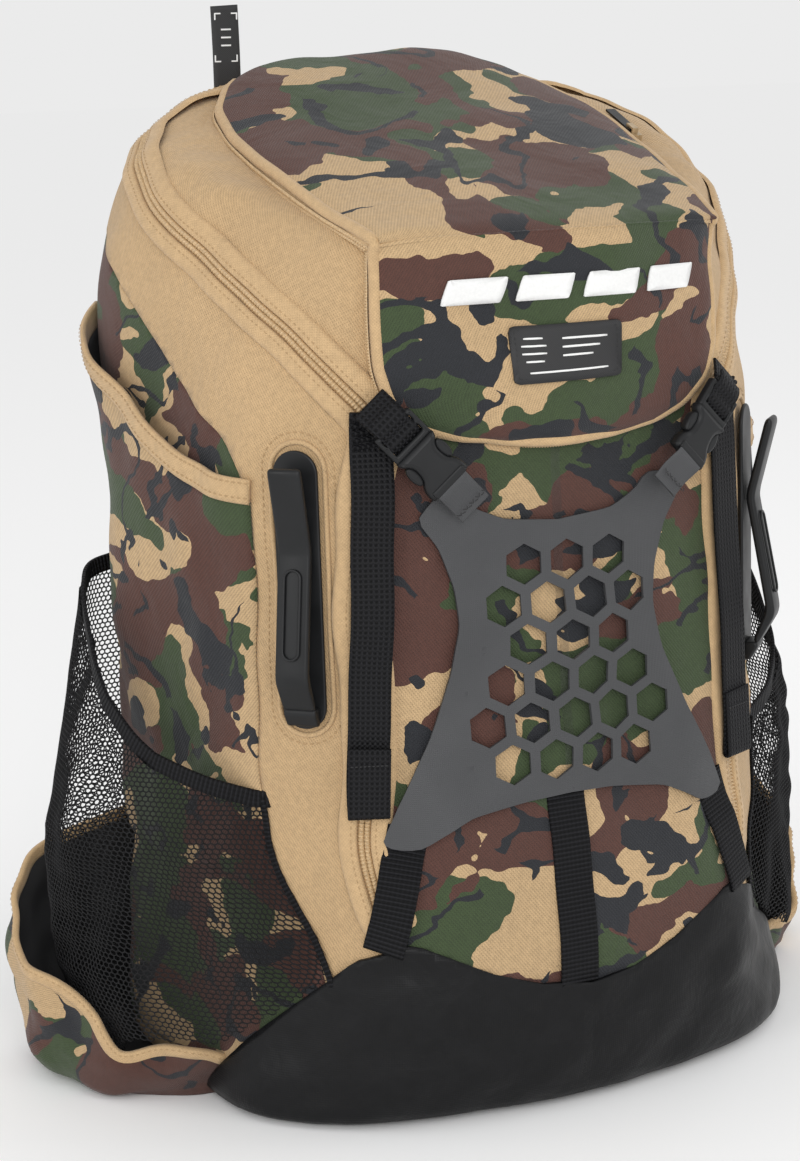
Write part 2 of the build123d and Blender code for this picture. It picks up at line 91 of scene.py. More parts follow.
def make_studio():
    world = bpy.data.worlds.new("studio")
    world.use_nodes = True
    sky = world.node_tree.nodes["Background"]
    sky.inputs["Color"].default_value = (SKY_GREY, SKY_GREY, SKY_GREY, 1)
    sky.inputs["Strength"].default_value = 1.0
    bpy.context.scene.world = world
    bpy.context.scene.view_settings.view_transform = "Standard"
    mesh = bpy.data.meshes.new("floor")
    corners = [(x * FLOOR_REACH, y * FLOOR_REACH, 0) for x, y in ((-1, -1), (1, -1), (1, 1), (-1, 1))]
    mesh.from_pydata(corners, [], [(0, 1, 2, 3)])
    mesh.materials.append(Paint("floor").bsdf((FLOOR_GREY, FLOOR_GREY, FLOOR_GREY), 1.0, spec=0.0))
    link("floor", mesh)


# ---------------------------------------------------------------- materials
class Paint:
    """A node material built with short calls."""

    def __init__(self, name):
        self.material = bpy.data.materials.new(name)
        self.material.use_nodes = True
        self.tree = self.material.node_tree
        self.tree.nodes.clear()
        coordinates = self.node("TexCoord")
        self.place, self.uv = coordinates.outputs["Object"], coordinates.outputs["UV"]

    def feed(self, socket, value):
        if isinstance(value, bpy.types.NodeSocket):
            self.tree.links.new(value, socket)
        else:
            socket.default_value = (*value, 1) if socket.type == "RGBA" else value

    def node(self, kind, settings=None, **inputs):
        """A shader node; an input is named, or given by its number after an underscore."""
        made = self.tree.nodes.new("ShaderNode" + kind)
        for key, value in (settings or {}).items():
            setattr(made, key, value)
        for key, value in inputs.items():
            self.feed(made.inputs[int(key[1:]) if key[0] == "_" else key.replace("_", " ")], value)
        return made

    def math(self, operation, a, b=0.0):
        return self.node("Math", {"operation": operation}, _0=a, _1=b).outputs[0]

    def add(self, a, b):
        return self.math("ADD", a, b)

    def times(self, a, b):
        return self.math("MULTIPLY", a, b)

    def noise(self, scale, detail=2.0, rough=0.5, bend=0.0, where=None, output=0):
        where = self.place if where is None else where
        return self.node("TexNoise", Vector=where, Scale=scale, Detail=detail, Roughness=rough,
                         Distortion=bend).outputs[output]

    def mix(self, factor, a, b, blend="MIX"):
        return self.node("Mix", {"data_type": "RGBA", "blend_type": blend}, Factor=factor, _6=a,
                         _7=b).outputs[2]

    def shade(self, colour, amount):
        """colour times amount, where amount is about 1."""
        grey = self.node("CombineColor", _0=amount, _1=amount, _2=amount).outputs[0]
        return self.mix(1.0, colour, grey, "MULTIPLY")

    def span(self, value, out_low, out_high, low=0.3, high=0.7):
        return self.node("MapRange", _0=value, _1=low, _2=high, _3=out_low, _4=out_high).outputs[0]

    def bump(self, height, strength, distance, **below):
        return self.node("Bump", Strength=strength, Distance=distance, Height=height, **below).outputs[0]

    def bsdf(self, colour, rough, normal=None, sheen=0.0, metal=0.0, spec=0.5):
        made = self.node("BsdfPrincipled", Base_Color=colour, Roughness=rough, Metallic=metal,
                         Specular_IOR_Level=spec, Sheen_Weight=sheen)
        if normal is not None:
            self.feed(made.inputs["Normal"], normal)
        self.node("OutputMaterial", Surface=made.outputs[0])
        return self.material

    def weave(self, pitch, tilt=0.0):
        """Sines across and along threads of that pitch in metres, over the piece's UV turned by tilt."""
        parts = self.node("SeparateXYZ", _0=self.uv)
        across, along = parts.outputs[0], parts.outputs[1]
        if tilt:
            c, s = math.cos(tilt), math.sin(tilt)
            turned = self.add(self.times(across, c), self.times(along, s))
            along = self.math("SUBTRACT", self.times(along, c), self.times(across, s))
            across = turned
        return [self.math("SINE", self.times(way, 2 * math.pi / pitch)) for way in (across, along)]

    def crossings(self, pitch, tilt=0.0):
        return self.times(*self.weave(pitch, tilt))


TAN = (0.475, 0.320, 0.166)
CAMO_TAN = (0.475, 0.325, 0.172)
CAMO_GREEN = (0.033, 0.055, 0.017)
CAMO_BROWN = (0.074, 0.026, 0.017)
CAMO_BLACK = (0.009, 0.0105, 0.0145)
TWILL_PITCH, TWILL_TILT = 0.0014, 0.62
CAMO_SHIFTS = {"front": (0.0, 0.0, 0.0), "lid": (0.4, 0.9, 0.2), "side": (0.7, 0.1, 1.3),
               "cup": (1.7, 0.6, 0.3)}
P = {}


def twill(paint, colour, contrast, fold):
    """The shaded colour and the normal of a twill cloth with soft folds."""
    a, b = paint.weave(TWILL_PITCH, TWILL_TILT)
    threads = paint.add(paint.times(a, 0.62), paint.times(paint.times(a, b), 0.55))
    value = paint.add(paint.times(threads, contrast), paint.span(paint.noise(420, 2, 0.6), 0.90, 1.08))
    value = paint.times(value, paint.span(paint.noise(9, 2, 0.5), 0.92, 1.05))
    folds = paint.bump(paint.noise(24, 3, 0.55, 0.6), fold, 0.006)
    return paint.shade(colour, value), paint.bump(threads, 0.6, 0.00022, Normal=folds)


def camouflage(name, shift):
    paint = Paint(name)
    where = paint.node("Mapping", _0=paint.place, _1=shift, _3=(1.0, 1.0, 1.35)).outputs[0]
    wobble = paint.noise(55, 2, 0.5, where=where, output=1)
    push = paint.node("VectorMath", {"operation": "SCALE"}, _0=wobble, Scale=0.016).outputs[0]
    bent = paint.node("VectorMath", {"operation": "ADD"}, _0=where, _1=push).outputs[0]

    def field(offset, scale, detail=1.4, bend=0.6):
        moved = paint.node("VectorMath", {"operation": "ADD"}, _0=bent, _1=offset).outputs[0]
        return paint.noise(scale, detail, 0.42, bend, moved)

    def patches(offset, scale, level):
        return paint.math("GREATER_THAN", field(offset, scale), level)

    green = patches((0, 0, 0), 17, 0.485)
    brown = patches((3.1, 1.7, 2.3), 18, 0.525)
    vein = field((7.7, 4.1, 5.9), 15, 1.2, 0.9)
    ridge = paint.math("LESS_THAN", paint.math("ABSOLUTE", paint.math("SUBTRACT", vein, 0.5)), 0.026)
    gate = patches((9.3, 2.9, 8.8), 20, 0.47)
    blot = patches((5.5, 8.4, 1.2), 19, 0.655)
    black = paint.math("MAXIMUM", paint.times(ridge, gate), blot)
    colour = paint.mix(green, CAMO_TAN, CAMO_GREEN)
    colour = paint.mix(brown, colour, CAMO_BROWN)
    colour = paint.mix(black, colour, CAMO_BLACK)
    tinted, normal = twill(paint, colour, 0.2, 0.5)
    return paint.bsdf(tinted, 0.78, normal, sheen=0.12)


def tan_fabric():
    paint = Paint("tan_fabric")
    tinted, normal = twill(paint, TAN, 0.17, 0.6)
    return paint.bsdf(tinted, 0.8, normal, sheen=0.12)


def tan_binding():
    paint = Paint("tan_binding")
    fine = paint.crossings(0.0016)
    value = paint.add(paint.times(fine, 0.08), paint.span(paint.noise(300, 2, 0.6), 0.9, 1.06))
    return paint.bsdf(paint.shade((0.52, 0.352, 0.184), value), 0.82, paint.bump(fine, 0.5, 0.0002),
                      sheen=0.15)


def grainy(name, colour, scale, low, high, rough, bump=0.0, detail=(2, 0.6), depth=0.0001, **more):
    """One colour, shaded from low to high by a fine noise that may raise the surface too."""
    paint = Paint(name)
    grain = paint.noise(scale, *detail)
    normal = paint.bump(grain, bump, depth) if bump else None
    return paint.bsdf(paint.shade(colour, paint.span(grain, low, high)), rough, normal, **more)


def plain_weave(name, colour, pitch, tilt, low, high, rough, bump):
    paint = Paint(name)
    grid = paint.crossings(pitch, tilt)
    return paint.bsdf(paint.shade(colour, paint.span(grid, low, high, -1, 1)), rough,
                      paint.bump(grid, bump, 0.0001))


def ribbed(paint, colour, rib, low, high, rough):
    """Black webbing whose ribs rise with rib."""
    tinted = paint.shade(colour, paint.span(rib, low, high, -1.2, 1.2))
    return paint.bsdf(tinted, rough, paint.bump(rib, 0.9, 0.0004), spec=0.16)


def black_webbing():
    paint = Paint("black_webbing")
    a, b = paint.weave(0.0024)
    rib = paint.add(paint.times(a, 0.6), paint.times(paint.times(a, b), 0.7))
    return ribbed(paint, (0.0052, 0.0052, 0.006), rib, 0.2, 2.8, 0.55)


def ribbed_elastic():
    paint = Paint("ribbed_elastic")
    a, b = paint.weave(0.0022)
    return ribbed(paint, (0.006, 0.006, 0.007), paint.add(b, paint.times(a, 0.25)), 0.3, 2.4, 0.62)


def coated_base():
    paint = Paint("coated_base")
    wrinkle = paint.noise(38, 4, 0.55, 0.4)
    normal = paint.bump(paint.crossings(0.0016, 0.8), 0.35, 0.0001, Normal=paint.bump(wrinkle, 0.5, 0.0035))
    tinted = paint.shade((0.0055, 0.0056, 0.0062), paint.span(paint.noise(130, 3, 0.6), 0.85, 1.2))
    return paint.bsdf(tinted, paint.span(wrinkle, 0.36, 0.50), normal, spec=0.2)


def grey_rubberised():
    paint = Paint("grey_rubberised")
    grid = paint.crossings(0.0013, 0.785)
    value = paint.add(paint.times(grid, 0.06), paint.span(paint.noise(30, 3, 0.6), 0.92, 1.08))
    return paint.bsdf(paint.shade((0.046, 0.047, 0.050), value), 0.55, paint.bump(grid, 0.5, 0.00008))


def black_plastic():
    paint = Paint("black_plastic")
    cloud = paint.noise(60, 2, 0.5)
    tinted = paint.shade((0.0085, 0.009, 0.0098), paint.span(cloud, 0.85, 1.2))
    normal = paint.bump(paint.noise(1100, 2, 0.6), 0.25, 0.0001)
    return paint.bsdf(tinted, paint.span(cloud, 0.36, 0.46), normal, spec=0.3)


def air_mesh():
    paint = Paint("air_mesh")
    cells = paint.node("TexVoronoi", {"feature": "DISTANCE_TO_EDGE"}, Vector=paint.place,
                       Scale=330.0).outputs[0]
    hole = paint.span(cells, 1.0, 0.0, 0.02, 0.16)
    # Painted shade: the sunken cell openings are coloured darker (0.45) and the raised walls lighter (1.35),
    # following the bump, to stand for the shade inside the mesh's holes
    tinted = paint.shade((0.024, 0.024, 0.026), paint.span(hole, 0.45, 1.35, 0, 1))
    return paint.bsdf(tinted, 0.75, paint.bump(hole, 0.8, 0.0006), sheen=0.1)


def make_materials():
    for part, shift in CAMO_SHIFTS.items():
        P[f"camo_{part}"] = camouflage(f"camo_{part}", shift)
    black = (0.012, 0.012, 0.013)
    fine = (1, 0.5)
    P["tan"] = tan_fabric()
    P["binding"] = tan_binding()
    P["coil"] = grainy("tan_coil", (0.55, 0.385, 0.21), 900, 0.8, 1.1, 0.36, 0.3, fine)
    P["thread"] = grainy("tan_thread", (0.42, 0.27, 0.13), 1500, 0.85, 1.1, 0.6, detail=fine)
    P["dark_thread"] = grainy("black_thread", black, 1500, 0.8, 1.2, 0.6, detail=fine)
    P["webbing"] = black_webbing()
    P["elastic"] = ribbed_elastic()
    P["base"] = coated_base()
    P["net"] = grainy("black_net", black, 1600, 0.8, 1.2, 0.6, 0.4, fine, spec=0.2)
    P["panel"] = grey_rubberised()
    P["plastic"] = black_plastic()
    P["metal"] = grainy("zip_metal", (0.45, 0.33, 0.19), 400, 0.8, 1.15, 0.35, 0.2, metal=0.4)
    P["label"] = plain_weave("black_label", (0.016, 0.016, 0.017), 0.0011, 0.0, 0.8, 1.3, 0.55, 0.6)
    P["white"] = grainy("white_mark", (0.80, 0.80, 0.79), 700, 0.94, 1.0, 0.6, 0.3)
    P["lining"] = plain_weave("lining", (0.035, 0.035, 0.037), 0.0012, 0.5, 0.85, 1.15, 0.7, 0.4)
    P["padding"] = air_mesh()
    P["board"] = grainy("board", (0.03, 0.03, 0.03), 90, 0.85, 1.15, 0.6, 0.2, (3, 0.6), 0.0003)


# ---------------------------------------------------------------- mesh helpers (millimetres in, metres out)
def settle(name, mesh, body, replaces):
    """Links a mesh as a piece that rides on body and stands for the replaced nodes."""
    made = link(name, mesh)
    if body:
        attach(made, body)
    if replaces:
        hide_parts(*replaces)
    return made


def add_piece(name, verts, faces, paints, body, uv=None, replaces=(), slot=None):
    """A smooth piece with one paint, or with an outer and an inner one."""
    paints = [paints] if isinstance(paints, str) else paints
    mesh = bpy.data.meshes.new(name)
    mesh.from_pydata((np.asarray(verts, float) * MM).tolist(), [], [tuple(int(i) for i in f) for f in faces])
    for paint in paints:
        mesh.materials.append(P[paint])
    if uv is not None:
        layer = mesh.uv_layers.new(name="UVMap")
        index = np.empty(len(mesh.loops), np.int32)
        mesh.loops.foreach_get("vertex_index", index)
        layer.data.foreach_set("uv", (np.asarray(uv, float) * MM)[index].astype(np.float32).ravel())
    mesh.shade_smooth()
    return settle(name, mesh, body, replaces)


def modify(piece, kind, **settings):
    modifier = piece.modifiers.new(kind.lower(), kind)
    for key, value in settings.items():
        setattr(modifier, key, value)
    return modifier


def thicken(piece, thick, offset=-1):
    """Gives a sheet its thickness; a second material goes on its inner side."""
    modify(piece, "SOLIDIFY", thickness=thick * MM, offset=offset,
           material_offset=len(piece.data.materials) - 1)


def grid_faces(rows, cols, wrap=False):
    return [(r * cols + c, r * cols + (c + 1) % cols, (r + 1) * cols + (c + 1) % cols, (r + 1) * cols + c)
            for r in range(rows - 1) for c in range(cols if wrap else cols - 1)]


def flipped(faces):
    return [f[::-1] for f in faces]


def triangles(faces):
    return [(f[0], f[k], f[k + 1]) for f in faces for k in range(1, len(f) - 1)]


def unit(vectors):
    return vectors / np.maximum(np.linalg.norm(vectors, axis=-1, keepdims=True), 1e-9)


def run_along(points):
    """Distance from the first point to each point of a line."""
    return np.concatenate([[0], np.cumsum(np.linalg.norm(np.diff(points, axis=0), axis=1))])


def read_at(at, run, values):
    """Rows of values, given at distances run, read off at other distances."""
    return np.stack([np.interp(at, run, values[:, k]) for k in range(values.shape[1])], 1)


def grid_uv(u, v):
    return np.stack(np.meshgrid(u, v), 2).reshape(-1, 2)


def blur(values, sigma, axis=0, wrap=False):
    reach = max(1, int(sigma * 3))
    kernel = np.exp(-0.5 * (np.arange(-reach, reach + 1) / sigma) ** 2)
    kernel /= kernel.sum()
    pad = [(0, 0)] * values.ndim
    pad[axis] = (reach, reach)
    padded = np.pad(values, pad, **({"mode": "wrap"} if wrap else {"mode": "reflect", "reflect_type": "odd"}))
    return np.apply_along_axis(lambda v: np.convolve(v, kernel, mode="valid"), axis, padded)


def waves(points, length, seed, count=7):
    """A smooth seeded field over points, about -1 to 1, with features of about that length."""
    draw = np.random.RandomState(seed)
    total = np.zeros(len(points))
    for _ in range(count):
        direction = unit(draw.normal(size=3))
        rate = 2 * math.pi / (length * draw.uniform(0.7, 1.5))
        total += np.sin(points @ direction * rate + draw.uniform(0, 6.28))
    return total / math.sqrt(count)


def resample_to(points, count):
    points = np.asarray(points, float)
    run = run_along(points)
    return read_at(np.linspace(0, run[-1], count), run, points)


def resample(points, step):
    return resample_to(points, max(2, int(round(run_along(np.asarray(points, float))[-1] / step)) + 1))


def smooth_line(points, step, sigma):
    """Points along a polyline every step, with its corners rounded over about sigma."""
    return resample(blur(resample(points, step), sigma / step), step)


def smooth_loop(points, sigma=0.8, step=0.6):
    """A closed 2-D outline with its corners rounded."""
    points = np.asarray(points, float)
    closed = resample(np.concatenate([points, points[:1]]), step)[:-1]
    return blur(closed, sigma / step, 0, wrap=True)


def normals_of(grid, wrap=False):
    across = np.roll(grid, -1, 1) - np.roll(grid, 1, 1) if wrap else np.gradient(grid, axis=1)
    return unit(np.cross(across, np.gradient(grid, axis=0)))


def mirrored(vector, side):
    """A left-side vector, mirrored to the right when side is 1."""
    return np.asarray(vector, float) * (-side, 1, 1)


# ---------------------------------------------------------------- the bag's surface
ROOF_Y, ROOF_Z, ROOF_SLOPE = -97.0, 416.0, 0.37
CUT_Y = -84.0
BACK_Y = 114.0
CHAMFER_X, CHAMFER_Y = 121.5, -66.5
# height, half width, depth of the front and how far the corners are drawn in
LEVELS = np.array([
    (0, 171, 108, -16), (14, 174, 117, -14), (60, 171, 119, -4), (110, 166, 115, 0), (200, 166, 101, 0),
    (335, 167, 98, 0), (385, 169, 97, 7), (424, 165, 97, 19), (462, 149, 97, 32), (486, 122, 97, 40),
    (500, 92, 97, 50)], float)
RUNS = [12, 9, 6, 6, 10, 10, 8, 7, 7, 16]
FLOOR_ROWS, WALL_ROWS, ROOF_ROWS = 22, 100, 26
CENTRE_RING = 0.04
FLOOR_LIFT, LOWEST = 0.6, 0.15


def roof_z(y):
    return ROOF_Z + ROOF_SLOPE * (y - ROOF_Y)


def ring_at(z):
    """The level line of the bag at height z, from the middle of the front around its right side."""
    width, front, draw = (np.interp(z, LEVELS[:, 0], LEVELS[:, k]) for k in (1, 2, 3))
    corners = np.array([
        (0, -front), (60, 7 - front), (101 - 0.2 * draw, min(19 - front, CUT_Y + 0.4 * draw)),
        (CHAMFER_X - 0.7 * draw, CHAMFER_Y + 0.7 * draw), (141 - draw, -46 + 0.5 * draw),
        (max(width - 14, 147 - draw), 2), (width, 52), (width - 6, 90), (width - 26, BACK_Y - 4),
        (width - 60, BACK_Y), (0, BACK_Y)], float)
    runs = [np.linspace(corners[k], corners[k + 1], count, endpoint=False) for k, count in enumerate(RUNS)]
    half = np.concatenate(runs + [corners[-1:]])
    return np.concatenate([half, (half * (-1, 1))[-2:0:-1]])


def make_body_grid():
    """Rings of the bag's surface from the middle of its floor, up the walls, to the middle of its roof."""
    heights = np.arange(0, 501, 4.0)
    table = blur(np.array([ring_at(z) for z in heights]), 3.0, 0)
    cols = range(table.shape[1])
    tops = []
    for c in cols:
        gap = heights - roof_z(table[:, c, 1])
        k = np.nonzero(gap > 0)[0][0]
        tops.append(heights[k - 1] + (heights[k] - heights[k - 1]) * (-gap[k - 1]) / (gap[k] - gap[k - 1]))
    walls = []
    for share in np.linspace(0, 1, WALL_ROWS):
        z = np.array(tops) * share
        x, y = (np.array([np.interp(z[c], heights, table[:, c, k]) for c in cols]) for k in (0, 1))
        walls.append(np.stack([x, y, z], 1))
    floor_centre, roof_centre = np.zeros(3), np.array([0, 5.0, roof_z(5.0)])
    below = [floor_centre + (walls[0] - floor_centre) * k / FLOOR_ROWS for k in range(FLOOR_ROWS)]
    above = [roof_centre + (walls[-1] - roof_centre) * s for s in np.linspace(1, 0, ROOF_ROWS)[1:]]
    grid = blur(blur(np.array(below + walls + above), 2.6, 1, wrap=True), 1.7, 0)
    grid[..., 2] = np.maximum(grid[..., 2], FLOOR_LIFT)
    grid[0] = floor_centre + (grid[1] - floor_centre) * (CENTRE_RING, CENTRE_RING, 1)
    grid[-1] = roof_centre + (grid[-2] - roof_centre) * CENTRE_RING
    return grid


BODY = make_body_grid()
BODY_ROWS, BODY_COLS = BODY.shape[:2]
BODY_FACES = grid_faces(BODY_ROWS, BODY_COLS, wrap=True)
BODY_NORMALS = normals_of(BODY, wrap=True).reshape(-1, 3)
BODY_NORMALS[:BODY_COLS] = (0, 0, -1)
BODY_NORMALS[-BODY_COLS:] = (0, -0.347, 0.938)
BODY_POINTS = BODY.reshape(-1, 3)
PUFF = 1.5 * waves(BODY_POINTS, 90, 3) + 0.75 * waves(BODY_POINTS, 40, 5)
PUFF *= np.clip((BODY_POINTS[:, 2] - 20) / 60, 0, 1)
BODY_POINTS = BODY_POINTS + BODY_NORMALS * PUFF[:, None]
BODY_UV = grid_uv(run_along(BODY[FLOOR_ROWS + 40]), run_along(BODY[:, 45]))
TREE = BVHTree.FromPolygons(BODY_POINTS.tolist(), BODY_FACES)


def normal_near(index, place):
    ids = list(BODY_FACES[index])
    weight = 1 / (np.linalg.norm(BODY_POINTS[ids] - place, axis=1) + 0.5)
    return unit((BODY_NORMALS[ids] * weight[:, None]).sum(0))


def found(hit, out):
    place = np.array(hit[0])
    n = normal_near(hit[2], place)
    return place + n * out, n


def nearest(point, out=0.0):
    return found(TREE.find_nearest(Vector(point)), out)


def cast(start, direction, out=0.0):
    """First point of the bag's surface along a line, out from it, and its normal."""
    hit = TREE.ray_cast(Vector(start), Vector(direction))
    return nearest(start, out) if hit[0] is None else found(hit, out)


def front_at(x, z, out=0.0):
    return cast((x, -400, z), (0, 1, 0), out)


def side_at(side, y, z):
    return cast((side * 400, y, z), (-side, 0, 0))


def on_body(points, out=0.0, sigma=3.0):
    """Points pushed onto the bag's surface, out from it, with smoothed normals."""
    places, n = (np.array(part) for part in zip(*[nearest(p) for p in points]))
    n = unit(blur(n, sigma))
    return places + n * out, n


def sweep(name, points, normals, profile, paint, body, closed=True, **more):
    """A profile of (across, out) pairs carried along points, with across to their right seen from outside."""
    points = np.asarray(points, float)
    normals = np.broadcast_to(np.asarray(normals, float), points.shape)
    along = unit(np.gradient(points, axis=0))
    across = unit(np.cross(along, normals))
    out = np.cross(across, along)
    shapes = np.asarray(profile, float)
    if shapes.ndim == 2:
        shapes = np.repeat(shapes[None], len(points), 0)
    grid = points[:, None] + across[:, None] * shapes[:, :, :1] + out[:, None] * shapes[:, :, 1:2]
    rows, cols = grid.shape[:2]
    faces = grid_faces(rows, cols, wrap=closed)
    if closed:
        faces += [tuple(range(cols))[::-1], tuple((rows - 1) * cols + k for k in range(cols))]
    return add_piece(name, grid.reshape(-1, 3), faces, paint, body,
                     grid_uv(run_along(shapes[0]), run_along(points)), **more)


def ellipse(cx, cy, rx, ry, count=28):
    turns = np.linspace(0, 2 * math.pi, count, endpoint=False)
    return np.stack([cx + rx * np.cos(turns), cy + ry * np.sin(turns)], 1)


def tube_profile(radius, count=8, lift=0.0):
    return ellipse(0, lift, radius, radius, count)


def strap_profile(width, thick, bevel=0.5):
    w, t, b = width / 2, thick / 2, min(bevel, thick / 2 * 0.9)
    flat = list(np.linspace(-w + b, w - b, 7)[1:-1])
    lower = [(-w, -t + b), (-w + b, -t)] + [(x, -t) for x in flat] + [(w - b, -t), (w, -t + b)]
    return np.array(lower + [(-x, -y) for x, y in lower])


def inside_distance(points, polygon):
    """Signed distance of 2-D points to a closed polygon's edge, positive inside."""
    polygon = np.asarray(polygon, float)
    best = np.full(len(points), 1e9)
    odd = np.zeros(len(points), bool)
    px, py = points[:, 0], points[:, 1]
    for (ax, ay), (bx, by) in zip(polygon, np.roll(polygon, -1, 0)):
        dx, dy = bx - ax, by - ay
        t = np.clip(((px - ax) * dx + (py - ay) * dy) / (dx * dx + dy * dy + 1e-12), 0, 1)
        best = np.minimum(best, np.hypot(px - ax - t * dx, py - ay - t * dy))
        if ay != by:
            odd ^= ((ay > py) != (by > py)) & (px < ax + (py - ay) * dx / dy)
    return np.where(odd, best, -best)


def used_only(verts, faces):
    """Drops the vertices that no face uses."""
    used = sorted({i for f in faces for i in f})
    new = {old: k for k, old in enumerate(used)}
    return np.array([verts[i] for i in used]), [tuple(new[i] for i in f) for f in faces]


def clip(verts, tris, field):
    """Keeps a triangle mesh where field is positive, cut along its zero line; verts may have more columns."""
    verts, field, cuts = [tuple(v) for v in verts], list(field), {}

    def cut(i, j):
        key = (min(i, j), max(i, j))
        if key not in cuts:
            t = field[i] / (field[i] - field[j])
            verts.append(tuple(p + t * (q - p) for p, q in zip(verts[i], verts[j])))
            field.append(0.0)
            cuts[key] = len(verts) - 1
        return cuts[key]

    kept = []
    for tri in tris:
        inside = [field[i] > 0 for i in tri]
        ring = []
        for k in range(3):
            if inside[k]:
                ring.append(tri[k])
            if inside[k] != inside[(k + 1) % 3]:
                ring.append(cut(tri[k], tri[(k + 1) % 3]))
        if ring:
            kept.append(tuple(ring))
    return used_only(verts, kept)


def skin_piece(name, fields, out, paint, body, thick, lining=None, shape=None, **more):
    """A piece of the bag's skin: where all the fields are positive, moved out from the surface."""
    points = BODY_POINTS + BODY_NORMALS * out
    if shape is not None:
        points = points + BODY_NORMALS * shape(BODY_POINTS)[:, None]
    points[:, 2] = np.maximum(points[:, 2], LOWEST)
    rows = np.concatenate([points, BODY_UV, np.stack(fields, 1)], 1)
    rough = np.min(rows[:, 5:], axis=1)
    faces = [f for f in triangles(BODY_FACES) if max(rough[i] for i in f) > -12]
    for k in range(len(fields)):
        rows, faces = clip(rows, faces, rows[:, 5 + k])
        faces = triangles(faces)
    paints = [paint, lining] if lining else [paint]
    thicken(add_piece(name, rows[:, :3], faces, paints, body, rows[:, 3:5], **more), thick)


# ---------------------------------------------------------------- the skin: shell, flap, base
# side views as (y, z): the line that the main zip follows, its foot curving forward, and the camouflage side
CUT = [(CUT_Y - 17, 92), (CUT_Y - 9, 110), (CUT_Y - 2, 132), (CUT_Y, 152), (CUT_Y, 344), (-78, 362),
       (-60, 383), (0, 424), (55, 458)]
CAMO_SIDE = [(-75, 10), (-75, 74), (-65, 95), (-54, 118), (-46.5, 142), (-46, 292), (-42, 318), (-30, 334),
             (-12, 346), (6, 362), (24, 385), (50, 408), (80, 424), (111, 434), (111, 20)]
BASE_SIDE_Y, BASE_SIDE_TOP = [-92, -75, -60, -45, -32, -20, -10, 2], [92, 73, 57, 41, 27, 15, 5, -9]
BASE_LIFT = 2.4


def base_field():
    """Positive inside the base; its top edge is a smooth curve that dips at the middle of the front."""
    x, y, z = np.abs(BODY_POINTS[:, 0]), BODY_POINTS[:, 1], BODY_POINTS[:, 2]
    top_front = np.interp(x, [0, 25, 50, 70, 84, 92, 100, 108], [64, 67, 76, 86, 93, 94, 88, 77])
    side = np.clip((x - 96) / 14, 0, 1)
    return top_front * (1 - side) + np.interp(y, BASE_SIDE_Y, BASE_SIDE_TOP) * side - z


def crown(p):
    side_drop = np.clip((100 - np.abs(p[:, 0])) / 26, 0, 1)
    return 1.6 * np.sin(side_drop * math.pi / 2) * np.clip((p[:, 2] - 64) / 20, 0, 1)


def wrinkled(p):
    folds = 0.9 * waves(p * (1.0, 1.0, 2.2), 60, 11) + 0.45 * waves(p * (1, 1, 1.6), 26, 12)
    return folds * np.clip(p[:, 2] / 15, 0, 1) - BASE_LIFT * (1 - np.clip(p[:, 2] / 6, 0, 1))


def make_skin():
    x, y, z = BODY_POINTS.T
    flat = np.stack([y, z], 1)
    line = smooth_line([(CUT[0][0], 60)] + CUT + [(102, 474), (102, 560), (-260, 560), (-260, 60)], 2.0, 5.0)
    front = inside_distance(flat, np.concatenate([line, [(-260, 560), (-260, 40), (line[0][0], 40)]]))
    base = base_field()
    side = inside_distance(flat, smooth_line(CAMO_SIDE, 2.0, 5.0))
    side = np.where(np.abs(x) > 102, side, -np.abs(side) - 5)
    back = np.minimum(y - (BACK_Y - 9), 150 - np.abs(x))
    rear = -front + 4.0 * np.clip((100 - z) / 4, 0, 1)
    skin_piece("tan_shell", [rear, 1.5 - base, -side, -back], 0.0, "tan", "root", 2.2, "lining",
               lambda p: -0.8 * np.clip((100 - p[:, 2]) / 4, 0, 1), replaces=["rear_shell"])
    for sign, name in SIDES:
        skin_piece(f"camo_side_{name}", [side, sign * x, -base, -back], -0.4, "camo_side", "root", 1.8,
                   "lining")
    skin_piece("back_panel", [back, rear, z - 1.5], 0.0, "padding", "root", 2.2, "lining")
    shoulder = z - np.interp(np.abs(x), [0, 74, 84, 92, 99, 106], [360, 352, 345, 339, 333, 329])
    tray_mouth = np.where(z > 360, np.maximum(np.abs(x) - 75, np.abs(y + 2) - 81), 5.0)
    skin_piece("flap_shoulders", [front, shoulder, -base, tray_mouth], 0.0, "tan", "front_flap", 2.2,
               "lining", replaces=["front_flap_shell"])
    skin_piece("flap_front", [front, -shoulder, 1.5 - base], 0.0, "camo_front", "front_flap", 2.2, "lining",
               crown)
    skin_piece("base_skin", [base], BASE_LIFT, "base", "root", 2.8, None, wrinkled, replaces=["base_boot"])


# ---------------------------------------------------------------- zips
def coil_row(name, points, normals, body, side, width=2.9, height=2.0, pitch=1.8, out=0.5):
    """One half of a zip coil: a fine ribbed cord along points, on one side of them."""
    run = run_along(points)
    at = np.arange(0, run[-1], pitch / 4)
    size = np.where(np.arange(len(at)) % 4 < 2, 1.0, 0.45)[:, None]
    turns = np.linspace(0, math.pi, 6)
    shapes = np.stack([side * width / 2 + np.cos(turns) * width / 2 * (0.85 + 0.15 * size),
                       out + np.sin(turns) * height * size], 2)
    sweep(name, read_at(at, run, points), read_at(at, run, normals), shapes, "coil", body, closed=False)


